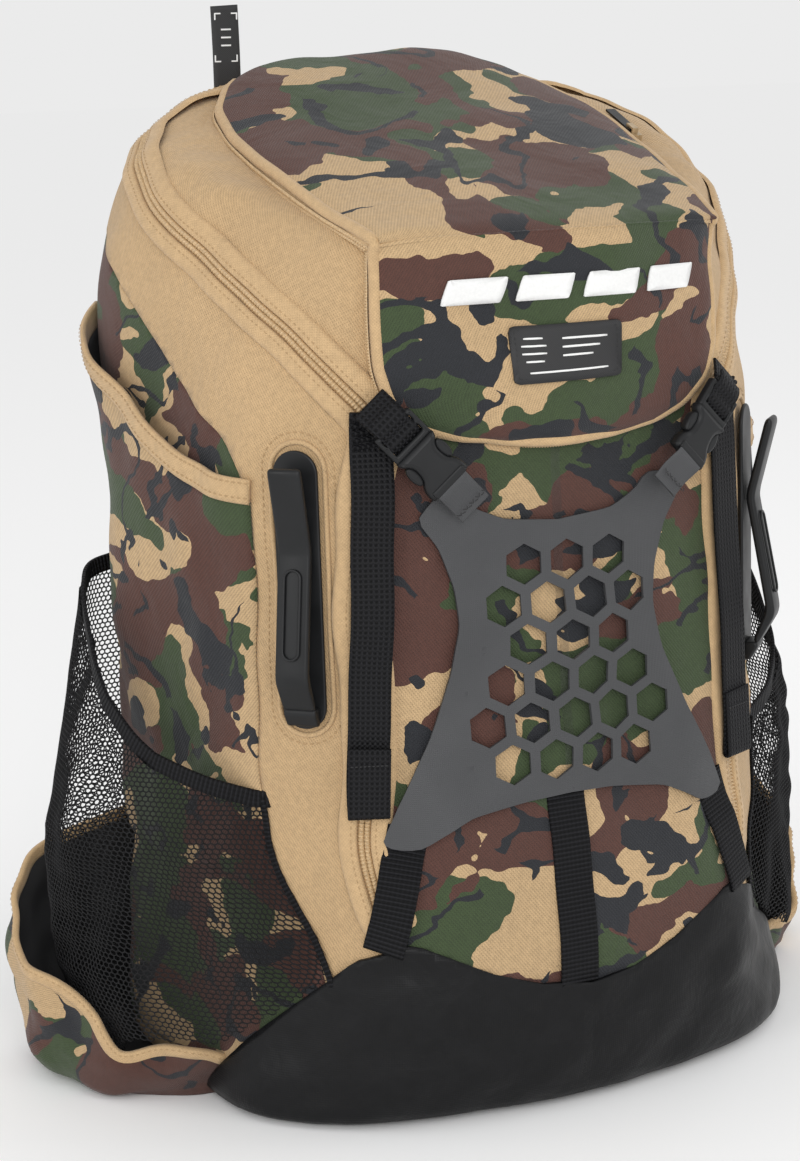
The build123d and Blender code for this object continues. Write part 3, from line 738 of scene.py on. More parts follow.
def stitches(name, points, normals, body, paint="thread", pitch=3.2, length=2.0, radius=0.32, out=0.1,
             across=0.0,
             slot=None):
    """A row of separate sewn stitches along points."""
    points = np.asarray(points, float)
    normals = np.broadcast_to(np.asarray(normals, float), points.shape)
    run = run_along(points)
    at = np.arange(pitch / 2, run[-1], pitch)
    n = read_at(at, run, normals)
    along = unit(read_at(at + 0.5, run, points) - read_at(at - 0.5, run, points))
    side = np.cross(along, n)
    place = read_at(at, run, points) + n * out + side * across
    verts, faces = [], []
    for p, a, b, up in zip(place, along, side, n):
        first = len(verts)
        for end, share, lift in ((-0.5, 0.35, -0.15), (-0.28, 1, 0.12), (0.28, 1, 0.12), (0.5, 0.35, -0.15)):
            middle, r = p + a * length * end + up * lift, radius * share
            verts += [middle + b * r, middle + up * r, middle - b * r]
        for q in range(first, first + 9, 3):
            faces += [(q, q + 1, q + 4, q + 3), (q + 1, q + 2, q + 5, q + 4)]
    add_piece(name, verts, faces, paint, body, slot=slot)


def zip_path():
    """The main zip from its foot at the left, up and over the top of the back, to its foot at the right."""
    left = [side_at(-1, y, z)[0] for y, z in smooth_line([(CUT_Y - 18, 86)] + CUT + [(90, 471)], 4.0, 8.0)]
    top = [nearest((x, 102, roof_z(102)))[0] for x in np.linspace(-96, 96, 40)]
    right = [p * (-1, 1, 1) for p in left[::-1]]
    points, n = on_body(smooth_line(left + top + right, 3.0, 9.0), 0.0, 4.0)
    return points - n * (4.2 * np.clip((103 - points[:, 2:]) / 9, 0, 1)), n


def band_profile(inner, outer, height, side):
    """Cross-section of a soft folded tape between two distances from the zip line."""
    raw = [(inner, -0.6), (inner, height * 0.75), (inner + 0.7, height), (inner + 2.2, height * 1.06),
           (outer - 3.0, height * 0.98), (outer - 1.2, height * 0.72), (outer - 0.2, height * 0.3),
           (outer, -0.6)]
    return [(side * across, out) for across, out in raw][::-side]


def make_main_zip():
    points, n = zip_path()
    for half, body, side, outer, height in (("rear", "root", -1, 12.6, 2.9),
                                            ("front", "front_flap", 1, 13.2, 2.7)):
        sweep(f"zip_band_{half}", points, n, band_profile(3.4, outer, height, side), "binding", body,
              closed=False, replaces=[f"main_zip_{half}_tape"])
        tape = [(side * 3.6, 0.4), (side * 0.1, 0.5), (side * 0.1, -0.6), (side * 3.6, -0.7)]
        sweep(f"zip_tape_{half}", points, n, tape[::side], "binding", body)
        coil_row(f"zip_coil_{half}", points, n, body, side)
        stitches(f"zip_stitch_{half}", points, n, body, "thread", 3.0, 1.9, 0.24, height + 0.2, side * 6.0)


# ---------------------------------------------------------------- lid of the top pocket
LID_BACK, LID_FRONT, LIP_TOP, LIP_FOOT = 95.5, -97.0, 423.0, 327.6
LID_COLS, LID_CREASE = 61, 58
LIP_OUT = 10.0
# half width of the lid by y, and of its lip by z
LID_PLAN = np.array([(-99, 88.5), (-80, 92), (-55, 97), (0, 103.5), (35, 104), (65, 99), (86, 86), (93, 74),
                     (95.5, 62)])
LIP_PLAN = np.array([(327.6, 30), (331, 52), (338, 70), (350, 83), (366, 88), (400, 88.5), (424, 88.5)])


def smooth_steps(a, b, count):
    """Numbers from a to b, closer together at both ends."""
    t = np.linspace(0, 1, count)
    return a + (b - a) * (0.5 * t + 0.5 * (1 - np.cos(math.pi * t)) / 2)


def lid_rows():
    """Rows of the lid from its back edge over the crown to the foot of its lip."""
    share = np.sin(np.linspace(-1, 1, LID_COLS) * math.pi / 2 * 0.999)
    rows = []
    for y in smooth_steps(LID_BACK, LID_FRONT, LID_CREASE):
        half = np.interp(y, *LID_PLAN.T)
        x = share * half
        t = (y + 100) / 196
        back = 511 - 17 * (np.abs(x) / 106) ** 2.2
        front = 427 - 2.5 * (np.abs(x) / 106) ** 2
        dip = 3.0 * np.exp(-(half - np.abs(x)) / 7.0) + 2.6 * math.exp(-(LID_BACK - y) / 6.0)
        rows.append(np.stack([x, np.full(LID_COLS, y), front * (1 - t) + back * t - dip], 1))
    for z in smooth_steps(LIP_TOP, LIP_FOOT, 34):
        half = np.interp(z, *LIP_PLAN.T)
        x = share * half
        y = np.array([front_at(v, min(z, 400))[0][1] for v in x]) - LIP_OUT
        edge = 2.4 * np.exp(-(half - np.abs(x)) / 6.0) + 2.0 * math.exp(-(z - LIP_FOOT) / 5.0)
        rows.append(np.stack([x, y + edge, np.full(LID_COLS, z)], 1))
    return np.array(rows)


def make_lid_shell():
    grid = lid_rows()
    grid = np.concatenate([blur(grid[:LID_CREASE + 8], 0.8, 0), grid[LID_CREASE + 8:]])
    n = normals_of(grid)
    if n.reshape(-1, 3)[n.size // 9][2] < 0:
        n = -n
    flat = grid.reshape(-1, 3)
    soft = 0.9 * waves(flat, 70, 21) + 0.5 * waves(flat, 33, 22)
    grid = grid + n * soft.reshape(*grid.shape[:2], 1)
    uv = grid_uv(run_along(grid[40]), run_along(grid[:, 30]))
    shell = add_piece("lid_shell", grid.reshape(-1, 3), flipped(grid_faces(*grid.shape[:2])),
                      ["camo_lid", "lining"], "lid", uv, replaces=["lid_cover"])
    thicken(shell, 2.0)
    return grid, n


def make_lid_edge(grid, n):
    """The piping around the lid, and the two tapes of its zip under it."""
    loop, loop_n = (np.concatenate([g[3:, 0], g[-1, 1:-1], g[3:, -1][::-1]]) for g in (grid, n))
    line = smooth_line(loop, 2.5, 3.0)
    run = run_along(loop)
    line_n = unit(blur(read_at(np.linspace(0, run[-1], len(line)), run, loop_n), 3.0))
    outward = np.cross(unit(np.gradient(line, axis=0)), line_n)
    if ((line - grid.reshape(-1, 3).mean(0)) * outward).sum() < 0:
        outward = -outward
    sweep("lid_piping", line + outward * 1.4 - line_n * 1.6, line_n, tube_profile(2.9, 10), "binding", "lid")
    foot, foot_n = (np.array(part) for part in zip(*[nearest(p + o * 3.0) for p, o in zip(line, outward)]))
    foot, foot_n = blur(foot, 2.0), blur(foot_n, 3.0)
    top = line + outward * 2.2 - line_n * 3.2
    seam = top * 0.5 + (foot + outward * 2.2) * 0.5
    upper = [top, top * 0.75 + seam * 0.25 + outward * 0.9, seam + outward * 0.5]
    lower = [upper[-1], seam * 0.35 + foot * 0.65 + outward * 1.6, foot + outward * 1.2 - foot_n * 1.0]
    for name, rings, body in (("lid_gusset", upper, "lid"), ("lid_opening_tape", lower, "front_flap")):
        uv = grid_uv(run_along(line), np.arange(3) * 4.0)
        thicken(add_piece(name, np.concatenate(rings), grid_faces(3, len(line)), "binding", body, uv), 1.0, 0)
    faced = unit(outward * 0.8 + line_n * 0.2)
    for name, body, side in (("lid_coil_upper", "lid", -1), ("lid_coil_lower", "front_flap", 1)):
        coil_row(name, seam + outward * 0.6, faced, body, side, 2.0, 1.2, 1.4, 0.2)


def make_lid_seam(grid):
    """The ridge where the top of the lid folds into its lip."""
    crease = int(np.argmin(np.abs(grid[:, 30, 1] + 103) + np.abs(grid[:, 30, 2] - 424) * 0.5))
    sweep("lid_crease_seam", resample(grid[crease][1:-1], 3), (0, -0.62, 0.78),
          [(-1.1, -0.9), (-0.5, 0.35), (0.5, 0.35), (1.1, -0.9)], "camo_lid", "lid", closed=False)


def make_lid_hinge(grid):
    """The cloth strip along the lid's back edge that it folds up on."""
    top = grid[0]
    foot = np.array([nearest((x, 99.0, roof_z(99.0)))[0] for x in top[:, 0]])
    share = np.linspace(0, 1, 7)[:, None, None]
    strip = foot * (1 - share) + (top - (0, 0, 0.8)) * share + np.array((0, 2.5, 0)) * np.sin(share * math.pi)
    uv = grid_uv(run_along(top), share.ravel() * 20.0)
    made = add_piece("lid_hinge_cloth", strip.reshape(-1, 3), grid_faces(7, len(top)), "binding", None, uv)
    thicken(made, 1.0, 0)
    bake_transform(made)


LABEL_X, LABEL_Z = 0.5, 368
# across, up, width and height of each plain mark
BAR_MARKS = ((-45, 398.5, 30, 11.5), (-10, 398.5, 26, 11.5), (24, 398.5, 28, 11.5), (58, 398.5, 26, 11.5))
LABEL_MARKS = ((-17, 375, 9, 0.9), (-17, 371.5, 12, 0.9), (-17, 368, 12, 0.9), (-17, 364.5, 9, 0.9),
               (9, 374.5, 24, 1.0), (7, 370.5, 20, 1.0), (5, 366.5, 16, 1.0), (0.5, 359.5, 41, 0.9))


def patch_on(surface, name, paint, centre_x, centre_z, width, height, out, thick, corner, slant=0.0, **more):
    """A flat patch with rounded corners laid on the lid by surface(x, z) -> point, normal."""
    cols, rows = max(4, int(width / 3)), max(4, int(height / 3))
    a, b = width / 2 - corner, height / 2 - corner
    verts, uv = [], []
    for r in range(rows + 1):
        for c in range(cols + 1):
            x, z = (c / cols * 2 - 1) * width / 2, (r / rows * 2 - 1) * height / 2
            ex, ez = max(abs(x) - a, 0), max(abs(z) - b, 0)
            far = math.hypot(ex, ez)
            if far > corner:
                x = math.copysign(a + ex * corner / far, x)
                z = math.copysign(b + ez * corner / far, z)
            p, n = surface(centre_x + x + slant * z, centre_z + z)
            verts.append(p + n * out)
            uv.append((x, z))
    thicken(add_piece(name, verts, grid_faces(rows + 1, cols + 1), paint, "lid", uv, **more), thick)


def make_lid_marks(grid):
    tree = BVHTree.FromPolygons(grid.reshape(-1, 3).tolist(), grid_faces(*grid.shape[:2]))

    def surface(x, z):
        hit = tree.ray_cast(Vector((x, -400, z)), Vector((0, 1, 0)))
        n = np.array(hit[1])
        return np.array(hit[0]), n if n[1] < 0 else -n

    for k, mark in enumerate(BAR_MARKS):
        patch_on(surface, f"lid_mark_{k}", "white", *mark, 1.2, 1.0, 1.2, 0.32)
    patch_on(surface, "lid_label", "label", LABEL_X, LABEL_Z, 57, 26.5, 1.5, 1.5, 2.6, replaces=["lid_patch"])
    corners = ((-26, -11), (26, -11), (26, 11), (-26, 11), (-26, -11))
    edge = [p + n * 1.7 for p, n in (surface(LABEL_X + x, LABEL_Z + z) for x, z in corners)]
    stitches("label_stitch", resample(edge, 2), FRONTWARD, "lid", "dark_thread", 2.6, 1.7, 0.25, 0.0,
             slot="black_label")
    for k, mark in enumerate(LABEL_MARKS):
        patch_on(surface, f"label_mark_{k}", "white", *mark, 1.85, 0.3, 0.3)


# ---------------------------------------------------------------- helmet holder
PANEL_X = -4.0
HEX_PITCH, HEX_FLATS, HEX_TOP_Z = 22.0, 17.0, 269.6
HEX_ROWS = [3, 4, 3, 4, 5, 4]
PANEL_HALF = [(0, 289), (28, 292), (44, 299), (50, 306), (60, 306), (70, 295), (60, 281), (53, 262),
              (51, 243), (55, 221), (68, 190), (84, 160), (92, 142), (86, 139.5), (76, 139), (66, 145),
              (52, 152), (22, 156), (0, 157)]


def panel_out(x, z):
    """How far the hanging panel stands off the front."""
    reach = np.clip((z - 139) / 160, 0, 1)
    bow = np.sin(reach * math.pi) * np.cos((x - PANEL_X) / 92 * 1.4)
    return 4.2 + 2.2 * bow + 0.5 * np.sin(x * 0.045 + z * 0.03)


def make_panel():
    xs, zs = np.arange(-100, 93, 4.0), np.arange(136, 312, 4.0)
    verts = np.array([(x, z) for z in zs for x in xs])
    faces = triangles(grid_faces(len(zs), len(xs)))
    outline = [(PANEL_X + x, z) for x, z in PANEL_HALF] + [(PANEL_X - x, z) for x, z in PANEL_HALF[-2::-1]]
    verts, faces = clip(verts, faces, inside_distance(verts, smooth_line(outline, 1.5, 2.2)))
    faces = triangles(faces)
    for row, count in enumerate(HEX_ROWS):
        z = HEX_TOP_Z - row * HEX_PITCH * math.sqrt(3) / 2
        for k in range(count):
            verts, faces = cut_hexagon(verts, faces, (k - (count - 1) / 2) * HEX_PITCH, z)
    place, normal = (np.array(part) for part in zip(*[front_at(x, z) for x, z in verts]))
    place = place + normal * panel_out(verts[:, 0], verts[:, 1])[:, None]
    panel = add_piece("helmet_holder", place, faces, "panel", "helmet_panel", verts,
                      replaces=["helmet_panel"])
    thicken(panel, 1.5)
    soften(panel, 0.35, 50)


def soften(piece, width, angle):
    modify(piece, "BEVEL", width=width * MM, segments=2, limit_method="ANGLE",
           angle_limit=math.radians(angle))
    modify(piece, "WEIGHTED_NORMAL")


def cut_hexagon(verts, faces, cx, cz):
    """Removes a pointed-top hexagon from a flat triangle mesh, cut exactly along its six sides."""
    near = np.hypot(verts[:, 0] - cx, verts[:, 1] - cz) < HEX_FLATS / math.sqrt(3) * 1.9
    keep = [f for f in faces if not any(near[i] for i in f)]
    inside = [f for f in faces if any(near[i] for i in f)]
    verts = [tuple(v) for v in verts]
    for turn in np.radians(np.arange(0, 360, 60)):
        nx, nz = math.cos(turn), math.sin(turn)
        cuts, rest = {}, []

        def depth(i):
            return (verts[i][0] - cx) * nx + (verts[i][1] - cz) * nz - HEX_FLATS / 2

        def cut(i, j):
            i, j = min(i, j), max(i, j)
            if (i, j) not in cuts:
                t = depth(i) / (depth(i) - depth(j))
                verts.append(tuple(p + t * (q - p) for p, q in zip(verts[i], verts[j])))
                cuts[i, j] = len(verts) - 1
            return cuts[i, j]

        for tri in inside:
            d = [0.0 if abs(depth(i)) < 1e-6 else depth(i) for i in tri]
            if max(d) <= 0:
                rest.append(tri)
                continue
            if min(d) >= 0:
                keep.append(tri)
                continue
            beyond, within = [], []
            for k in range(3):
                if d[k] >= 0:
                    beyond.append(tri[k])
                if d[k] <= 0:
                    within.append(tri[k])
                if d[k] * d[(k + 1) % 3] < 0:
                    middle = cut(tri[k], tri[(k + 1) % 3])
                    beyond.append(middle)
                    within.append(middle)
            keep += triangles([beyond])
            rest += triangles([within])
        inside = rest
    return used_only(verts, keep)


# ---------------------------------------------------------------- moulded parts
def plate(name, loops, thick, bevel, place, paint, body, replaces=()):
    """A moulded plate with rounded edges: outlines in its own x and y, the later ones holes."""
    curve = bpy.data.curves.new(name + "_outline", "CURVE")
    curve.dimensions = "2D"
    curve.fill_mode = "BOTH"
    curve.extrude = (thick / 2 - bevel) * MM
    curve.bevel_depth = bevel * MM
    curve.bevel_resolution = 2
    curve.offset = -bevel * MM
    for loop in loops:
        spline = curve.splines.new("POLY")
        spline.points.add(len(loop) - 1)
        for point, (x, y) in zip(spline.points, loop):
            point.co = (x * MM, y * MM, 0, 1)
        spline.use_cyclic_u = True
    carrier = link(name + "_outline", curve)
    bpy.context.view_layer.update()
    mesh = bpy.data.meshes.new_from_object(carrier.evaluated_get(bpy.context.evaluated_depsgraph_get()))
    bpy.data.objects.remove(carrier)
    origin, u, v, w = (Vector(a) for a in place)
    mesh.transform(Matrix.Translation(origin * MM) @ Matrix((u, v, w)).transposed().to_4x4())
    mesh.name = name
    mesh.materials.clear()
    mesh.materials.append(P[paint])
    mesh.shade_smooth()
    modify(settle(name, mesh, body, replaces), "EDGE_SPLIT", split_angle=math.radians(40))


def rect(x0, x1, y0, y1):
    return [(x0, y0), (x1, y0), (x1, y1), (x0, y1)]


def oblong(half_width, half_length, count=20):
    a = np.linspace(0, math.pi, count)
    top = np.stack([half_width * np.cos(a), half_length - half_width + half_width * np.sin(a)], 1)
    return np.concatenate([top, -top])


# ---------------------------------------------------------------- buckles, webbing and elastics on the front
WEBBING = 20.0
BUCKLE_AT = np.array((-71.0, -104.5, 322.0))
BUCKLE_ALONG = np.array((-0.66, 0.16, 0.73)) / math.sqrt(0.66 ** 2 + 0.16 ** 2 + 0.73 ** 2)
BUCKLE_OUT = np.array((-0.24, -0.97, 0.0)) / math.hypot(0.24, 0.97)
SOCKET_HALF = [(-13.0, 10.6), (-12.2, 11.4), (-8, 11.3), (-5, 10.2), (-2.6, 8.2), (0, 7.4), (4, 7.2),
               (6.6, 8.2), (8.4, 10.4), (10, 11.3), (12, 11.4)]
PLUG_WRAP = ((14.4, -1.0), (16.8, 1.2), (19.9, 3.1), (23.0, 1.2), (27.2, 2.9), (31, 1.8), (33.5, 0.0))
HOLDER_LOOP = ((-10.6, 3.4), (-13.5, 3.9), (-16.5, 2.2), (-22, -0.4), (-30, -2.0))
ANCHOR = ((26.5, 1.4), (30, -1.0), (35, -4.5), (39, -7.5))


def make_buckles():
    for side, name in SIDES:
        at, along, out = (mirrored(v, side) for v in (BUCKLE_AT, BUCKLE_ALONG, BUCKLE_OUT))
        across = np.cross(out, along)
        socket, plug = "helmet_panel", f"buckle_plug_{name}"

        def spot(u, v, n):
            return at + along * u + across * v + out * n

        def moulded(part, loops, thick, bevel, v, n, body, **more):
            plate(part, loops, thick, bevel, (spot(0, v, n), along, across, out), "plastic", body, **more)

        def strip(part, route, sigma, width, thick, paint, body, step=0.8, **more):
            line = smooth_line([spot(u, 0, n) for u, n in route], step, sigma)
            return sweep(part, line, out, strap_profile(width, thick), paint, body, **more)

        outline = SOCKET_HALF + [(u, -v) for u, v in SOCKET_HALF[::-1]]
        moulded(f"buckle_socket_shell_{name}", [smooth_loop(outline, 0.9)], 7.6, 2.6, 0, 0.2, socket,
                replaces=[f"buckle_socket_{name}"])
        moulded(f"buckle_socket_ridge_{name}", [smooth_loop(rect(-12.6, -8.6, -9.6, 9.6))], 2.2, 0.9, 0, 3.6,
                socket)
        for v, end in ((-9.3, "a"), (9.3, "b")):
            moulded(f"buckle_tab_{name}_{end}", [ellipse(2.0, 0, 5.4, 2.5)], 5.0, 1.3, v, 0.2, plug)
        slots = [smooth_loop(rect(u, u + width, -8.6, 8.6), 0.5) for u, width in ((15.0, 3.6), (21.2, 3.4))]
        moulded(f"buckle_frame_{name}", [smooth_loop(rect(11.2, 27, -11, 11), 1.0)] + slots, 4.8, 1.4, 0, 0.2,
                plug, replaces=[plug])
        strip(f"buckle_wrap_{name}", PLUG_WRAP, 1.0, 16.8, 1.5, "webbing", plug)
        strip(f"panel_tab_{name}", HOLDER_LOOP, 1.2, 17.5, 1.3, "panel", socket, replaces=["panel_loops"])
        zigzag = [spot(-26.5 + 1.3 * (k % 2), -9 + 1.0 * k, 1.0) for k in range(19)]
        stitches(f"panel_tab_stitch_{name}", zigzag, out, socket, "dark_thread", 2.2, 2.0, 0.3, 0.6,
                 slot="grey_rubberised")
        strap = strip(f"anchor_strap_{name}", ANCHOR, 1.2, 18.5, 1.6, "webbing", None, 1.0,
                      replaces=[f"anchor_webbing_{name}"])
        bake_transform(strap)


TAIL_TOP, TAIL_FOOT, FOLD_RADIUS = 346, 157, 1.5


def make_tails():
    for side, name in SIDES:
        body = f"buckle_plug_{name}"
        n = np.array((side * 0.40, -0.92, 0.0)) / math.hypot(0.40, 0.92)
        hang = []
        for z in np.arange(TAIL_TOP, TAIL_FOOT, -4.0):
            fall = TAIL_TOP - z
            lift = 5.6 + 1.6 * math.sin(fall / 190 * math.pi) + 2.5 * math.exp(-fall / 7.0)
            hang.append(front_at(side * (90.5 + 0.05 * (343 - z)), z)[0] + n * lift)
        turns = np.linspace(0, math.pi, 9)[1:, None]
        turn = hang[-1] + n * FOLD_RADIUS * (1 - np.cos(turns)) - (0, 0, FOLD_RADIUS) * np.sin(turns)
        turn_n = n * np.cos(turns) + (0, 0, 1) * np.sin(turns)
        back = [turn[-1] + (-side * 0.05 * k, 0, k) for k in range(2, 33, 3)]
        normals = np.concatenate([[n] * len(hang), turn_n, [-n] * len(back)])
        sweep(f"tail_{name}", np.concatenate([hang, turn, back]), normals, strap_profile(WEBBING, 1.7),
              "webbing", body, replaces=[f"webbing_tail_{name}"])
        row = [turn[-1] + n + (v - side * 1.2, 0.4 * side * v, 24.0) for v in np.linspace(-8.5, 8.5, 12)]
        stitches(f"tail_stitch_{name}", row, n, body, "dark_thread", 2.0, 1.5, 0.3, 0.2)
        for k in range(5):
            middle = front_at(side * 90.3, 345 - k * 3.4)[0] + n * (7.4 + 1.6 * math.exp(-k * 0.6))
            half = (19.4 - k * 0.5) / 2
            across = np.array((0.92, side * 0.40, -0.16 * side))
            line = [middle + across * v for v in np.linspace(-half, half, 14)]
            sweep(f"tail_gather_{name}_{k}", line, n, tube_profile(1.25), "webbing", body)


# name, x at the top and foot, z at the top and foot, and how far it stands off along its length
ELASTICS = (("left", -84, -99, 150, 91, [1.8, 2.3, 4.2, 4.2, 3.0]),
            ("right", 80, 96, 150, 91, [1.8, 2.3, 4.2, 4.2, 3.0]),
            ("centre", -6, -6, 162, 62, [1.8, 2.2, 1.9, 1.8, 0.4]))


def make_elastics():
    for name, top_x, foot_x, top_z, foot_z, lifts in ELASTICS:
        share = np.linspace(0, 1, 30)
        spots = [front_at(top_x + t * (foot_x - top_x), top_z + t * (foot_z - top_z)) for t in share]
        points, n = (np.array(part) for part in zip(*spots))
        points = points + n * np.interp(share, [0, 0.25, 0.42, 0.92, 1], lifts)[:, None]
        strap = sweep(f"elastic_strap_{name}", points, blur(n, 3.0), strap_profile(WEBBING, 1.5), "elastic",
                      None, replaces=[f"elastic_{name}"])
        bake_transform(strap)


# ---------------------------------------------------------------- gear hooks
HOOK_Z = 263
# side views of the foot and the arm, as (out, up)
HOOK_FOOT = [(2.4, -64), (5.4, -64), (9.6, -57), (8.6, -54.4), (2.4, -55)]
HOOK_ARM = [(9.4, -55.6), (17.2, -42), (18, -38.5), (17.6, -35), (7.9, 19), (8.4, 23), (16.9, 56.5),
            (16.6, 59.3), (14.2, 60), (12.8, 57.6), (3.8, 22.4), (3.6, 18.4), (13.0, -35.6), (12.4, -40),
            (7.2, -52.6), (7.4, -55)]


def make_hooks():
    for side, name in SIDES:
        u, out = (mirrored((x, -0.7071, 0), side) for x in (0.7071, -0.7071))
        up = np.array((0, 0, 1.0))
        origin = mirrored((-CHAMFER_X, CHAMFER_Y, HOOK_Z), side)
        arm, profile = f"hook_arm_{name}", (origin, out, up, np.cross(out, up))
        plate(f"hook_base_{name}", [oblong(11, 66)], 2.0, 0.8, (origin + out * 1.6, u, up, out), "plastic",
              "root", replaces=[f"hook_plate_{name}"])
        plate(f"hook_foot_{name}", [smooth_loop(HOOK_FOOT)], 16, 1.2, profile, "plastic", "root")
        plate(f"hook_spring_{name}", [smooth_loop(HOOK_ARM, 1.1)], 16, 1.5, profile, "plastic", arm,
              replaces=[arm])
        top, low = origin + out * 8.6 + up * 14, origin + out * 17.0 - up * 32
        length = np.linalg.norm(top - low)
        axis = (top - low) / length
        face = np.cross(axis, u)
        face = face * np.sign(face @ out)
        ring = [oblong(4.6, length / 2 - 2), oblong(3.3, length / 2 - 3.3)]
        plate(f"hook_recess_{name}", ring, 1.2, 0.5, ((top + low) / 2 + face, u, axis, np.cross(u, axis)),
              "plastic", arm)
        for half_width, half_length in ((13.6, 69.5), (18.2, 74)):
            loop = oblong(half_width, half_length)
            loop = resample(np.concatenate([loop, loop[:1]]), 3.0)
            line, n = on_body([origin + u * x + up * y for x, y in loop], 0.0, 4.0)
            if half_width < 15:
                sweep(f"hook_slot_rim_{name}", line, n, tube_profile(1.3, 8, 0.3), "binding", "root")
            else:
                stitches(f"hook_slot_stitch_{name}", line, n, "root", "thread", 3.4, 2.1, 0.34, 0.15)


# ---------------------------------------------------------------- side sleeves
SLEEVE_EDGE = np.array([(-47, 303), (-38, 304), (-26, 306), (-8, 311), (14, 322), (34, 336), (55, 352),
                        (74, 365), (98, 378)])
SLEEVE_FOOT, SLEEVE_ROWS = 118, 60
SLEEVE_Y = np.linspace(-46.5, 98, 50)
HEM = np.array([(-11.2, -0.4), (-11.0, 0.8), (-9.5, 1.1), (-1.5, 1.3), (0.3, 1.0), (1.0, 0.0), (0.4, -1.2),
                (-1.5, -1.8), (-9.5, -1.9), (-11.0, -1.6)]) * (-1, 1)


def sleeve_point(side, y, share):
    """A point of the sleeve at y, with share from 0 at its foot to 1 at its hem."""
    top = np.interp(y, *SLEEVE_EDGE.T)
    z = SLEEVE_FOOT + share * (top - SLEEVE_FOOT)
    belly = max(0.0, math.sin(math.pi * (y + 48) / 148)) ** 0.7
    rise = np.clip((z - 120) / (top - 120), 0, 1)
    place, n = side_at(side, y, z)
    if abs(place[0]) < 100:
        place, n = nearest((side * 150, y, z))
    return place + n * (0.5 + 9.5 * belly * (0.2 + 0.8 * rise ** 1.6))


def make_sleeves():
    for side, name in SIDES:
        shares = np.linspace(0, 1, SLEEVE_ROWS)
        grid = np.array([[sleeve_point(side, y, share) for y in SLEEVE_Y] for share in shares])
        grid = blur(blur(grid, 1.0, 0), 1.0, 1)
        n = normals_of(grid)
        n = n if n[30, 25, 0] * side > 0 else -n
        flat = grid.reshape(-1, 3)
        fold = 1.3 * waves(flat * (1, 1.5, 0.55), 60, 31 + side) + 0.6 * waves(flat, 30, 33)
        fold = fold.reshape(grid.shape[:2])
        fold *= np.clip((SLEEVE_Y + 46) / 30, 0, 1) * np.clip((98 - SLEEVE_Y) / 20, 0, 1)
        grid = grid + n * fold[..., None]
        faces = grid_faces(*grid.shape[:2])
        piece = add_piece(f"sleeve_{name}", grid.reshape(-1, 3), faces if side == 1 else flipped(faces),
                          ["camo_side", "lining"], "root",
                          grid_uv(run_along(grid[30]), run_along(grid[:, 25])),
                          replaces=[f"side_sleeve_{name}"])
        thicken(piece, 1.4)
        line = resample(np.concatenate([grid[-1], n[-1]], 1), 3.0)[::-side]
        points, out = line[:, :3], unit(line[:, 3:])
        sweep(f"sleeve_hem_band_{name}", points, out, HEM, "binding", "root", replaces=[f"sleeve_hem_{name}"])
        for k, across in enumerate((2.2, 9.4)):
            stitches(f"sleeve_stitch_{name}_{k}", points, out, "root", "thread", 3.2, 2.1, 0.3, 1.35, across)


# ---------------------------------------------------------------- net pockets and bat cups
# how far a pocket stands out by height, and how far its front end is carried back by height
NET_LEVELS = np.array([(10, 34), (24, 36), (60, 42), (130, 42), (190, 27), (250, 12), (262, 9)])
CUP_LEVELS = np.array([(0.2, 40), (6, 51), (20, 58), (70, 60), (118, 57)])
NET_LEAD = np.array([(60, -40), (76, -38), (95, -26), (120, -11), (146, -1)])
CUP_LEAD = np.array([(0, 38), (5, 35), (15, 26), (27, 14), (41, 0)])
NET_RIM = np.array([(-60, 158), (-44, 160), (-10, 176), (20, 200), (40, 224), (70, 248), (96, 258)])
NET_FRONT = np.array([(-78, 68), (-77, 76), (-67, 95), (-55.5, 118), (-47.5, 140), (-46, 160)])
NET_LENGTH, NET_HEIGHT, NET_FOOT = 196.0, 250, 12
NET_CELL = 2.7
NET_ROW = NET_CELL * 0.866
CUP_SHARE = [0.0, 0.10, 0.18, 0.27, 0.36, 0.46, 0.55, 0.66, 0.78, 0.9, 1.0]
CUP_TOP = [16, 26, 30, 22, 38, 58, 63, 84, 104, 112, 116]
CUP_COLS, CUP_ROWS = 110, 44
CUP_TRIM = {"left": 0, "right": 6}
CUP_HEM = np.array([(-3.2, -1.4), (-3.2, 1.1), (-2.2, 1.5), (2.0, 1.6), (3.0, 0.9), (3.0, -1.2), (2.0, -1.8),
                    (-2.2, -1.8)])[::-1]
POCKET_COLS, POCKET_ROWS = 121, 60


def pocket_ring(z, levels, back, spread, lead):
    """One level of a left pocket's outline from its front end to its back end."""
    out, shift = np.interp(z, *levels.T), np.interp(z, *lead.T)
    near, far = (0.37, 0.5) if shift > 0 else (0.8, 0.3)
    return smooth_line([(-134 - near * shift, -48 + shift), (-141 - 0.9 * near * shift, -44 + 0.9 * shift),
                        (-150 - 0.35 * out, -30 + far * shift), (-164 - 0.72 * out, -2 + spread),
                        (-172 - out, 34 + spread), (-172 - out, back - 26), (-168 - 0.7 * out, back - 6),
                        (-152, back), (-146, back + 1)], 2.0, 7.0)


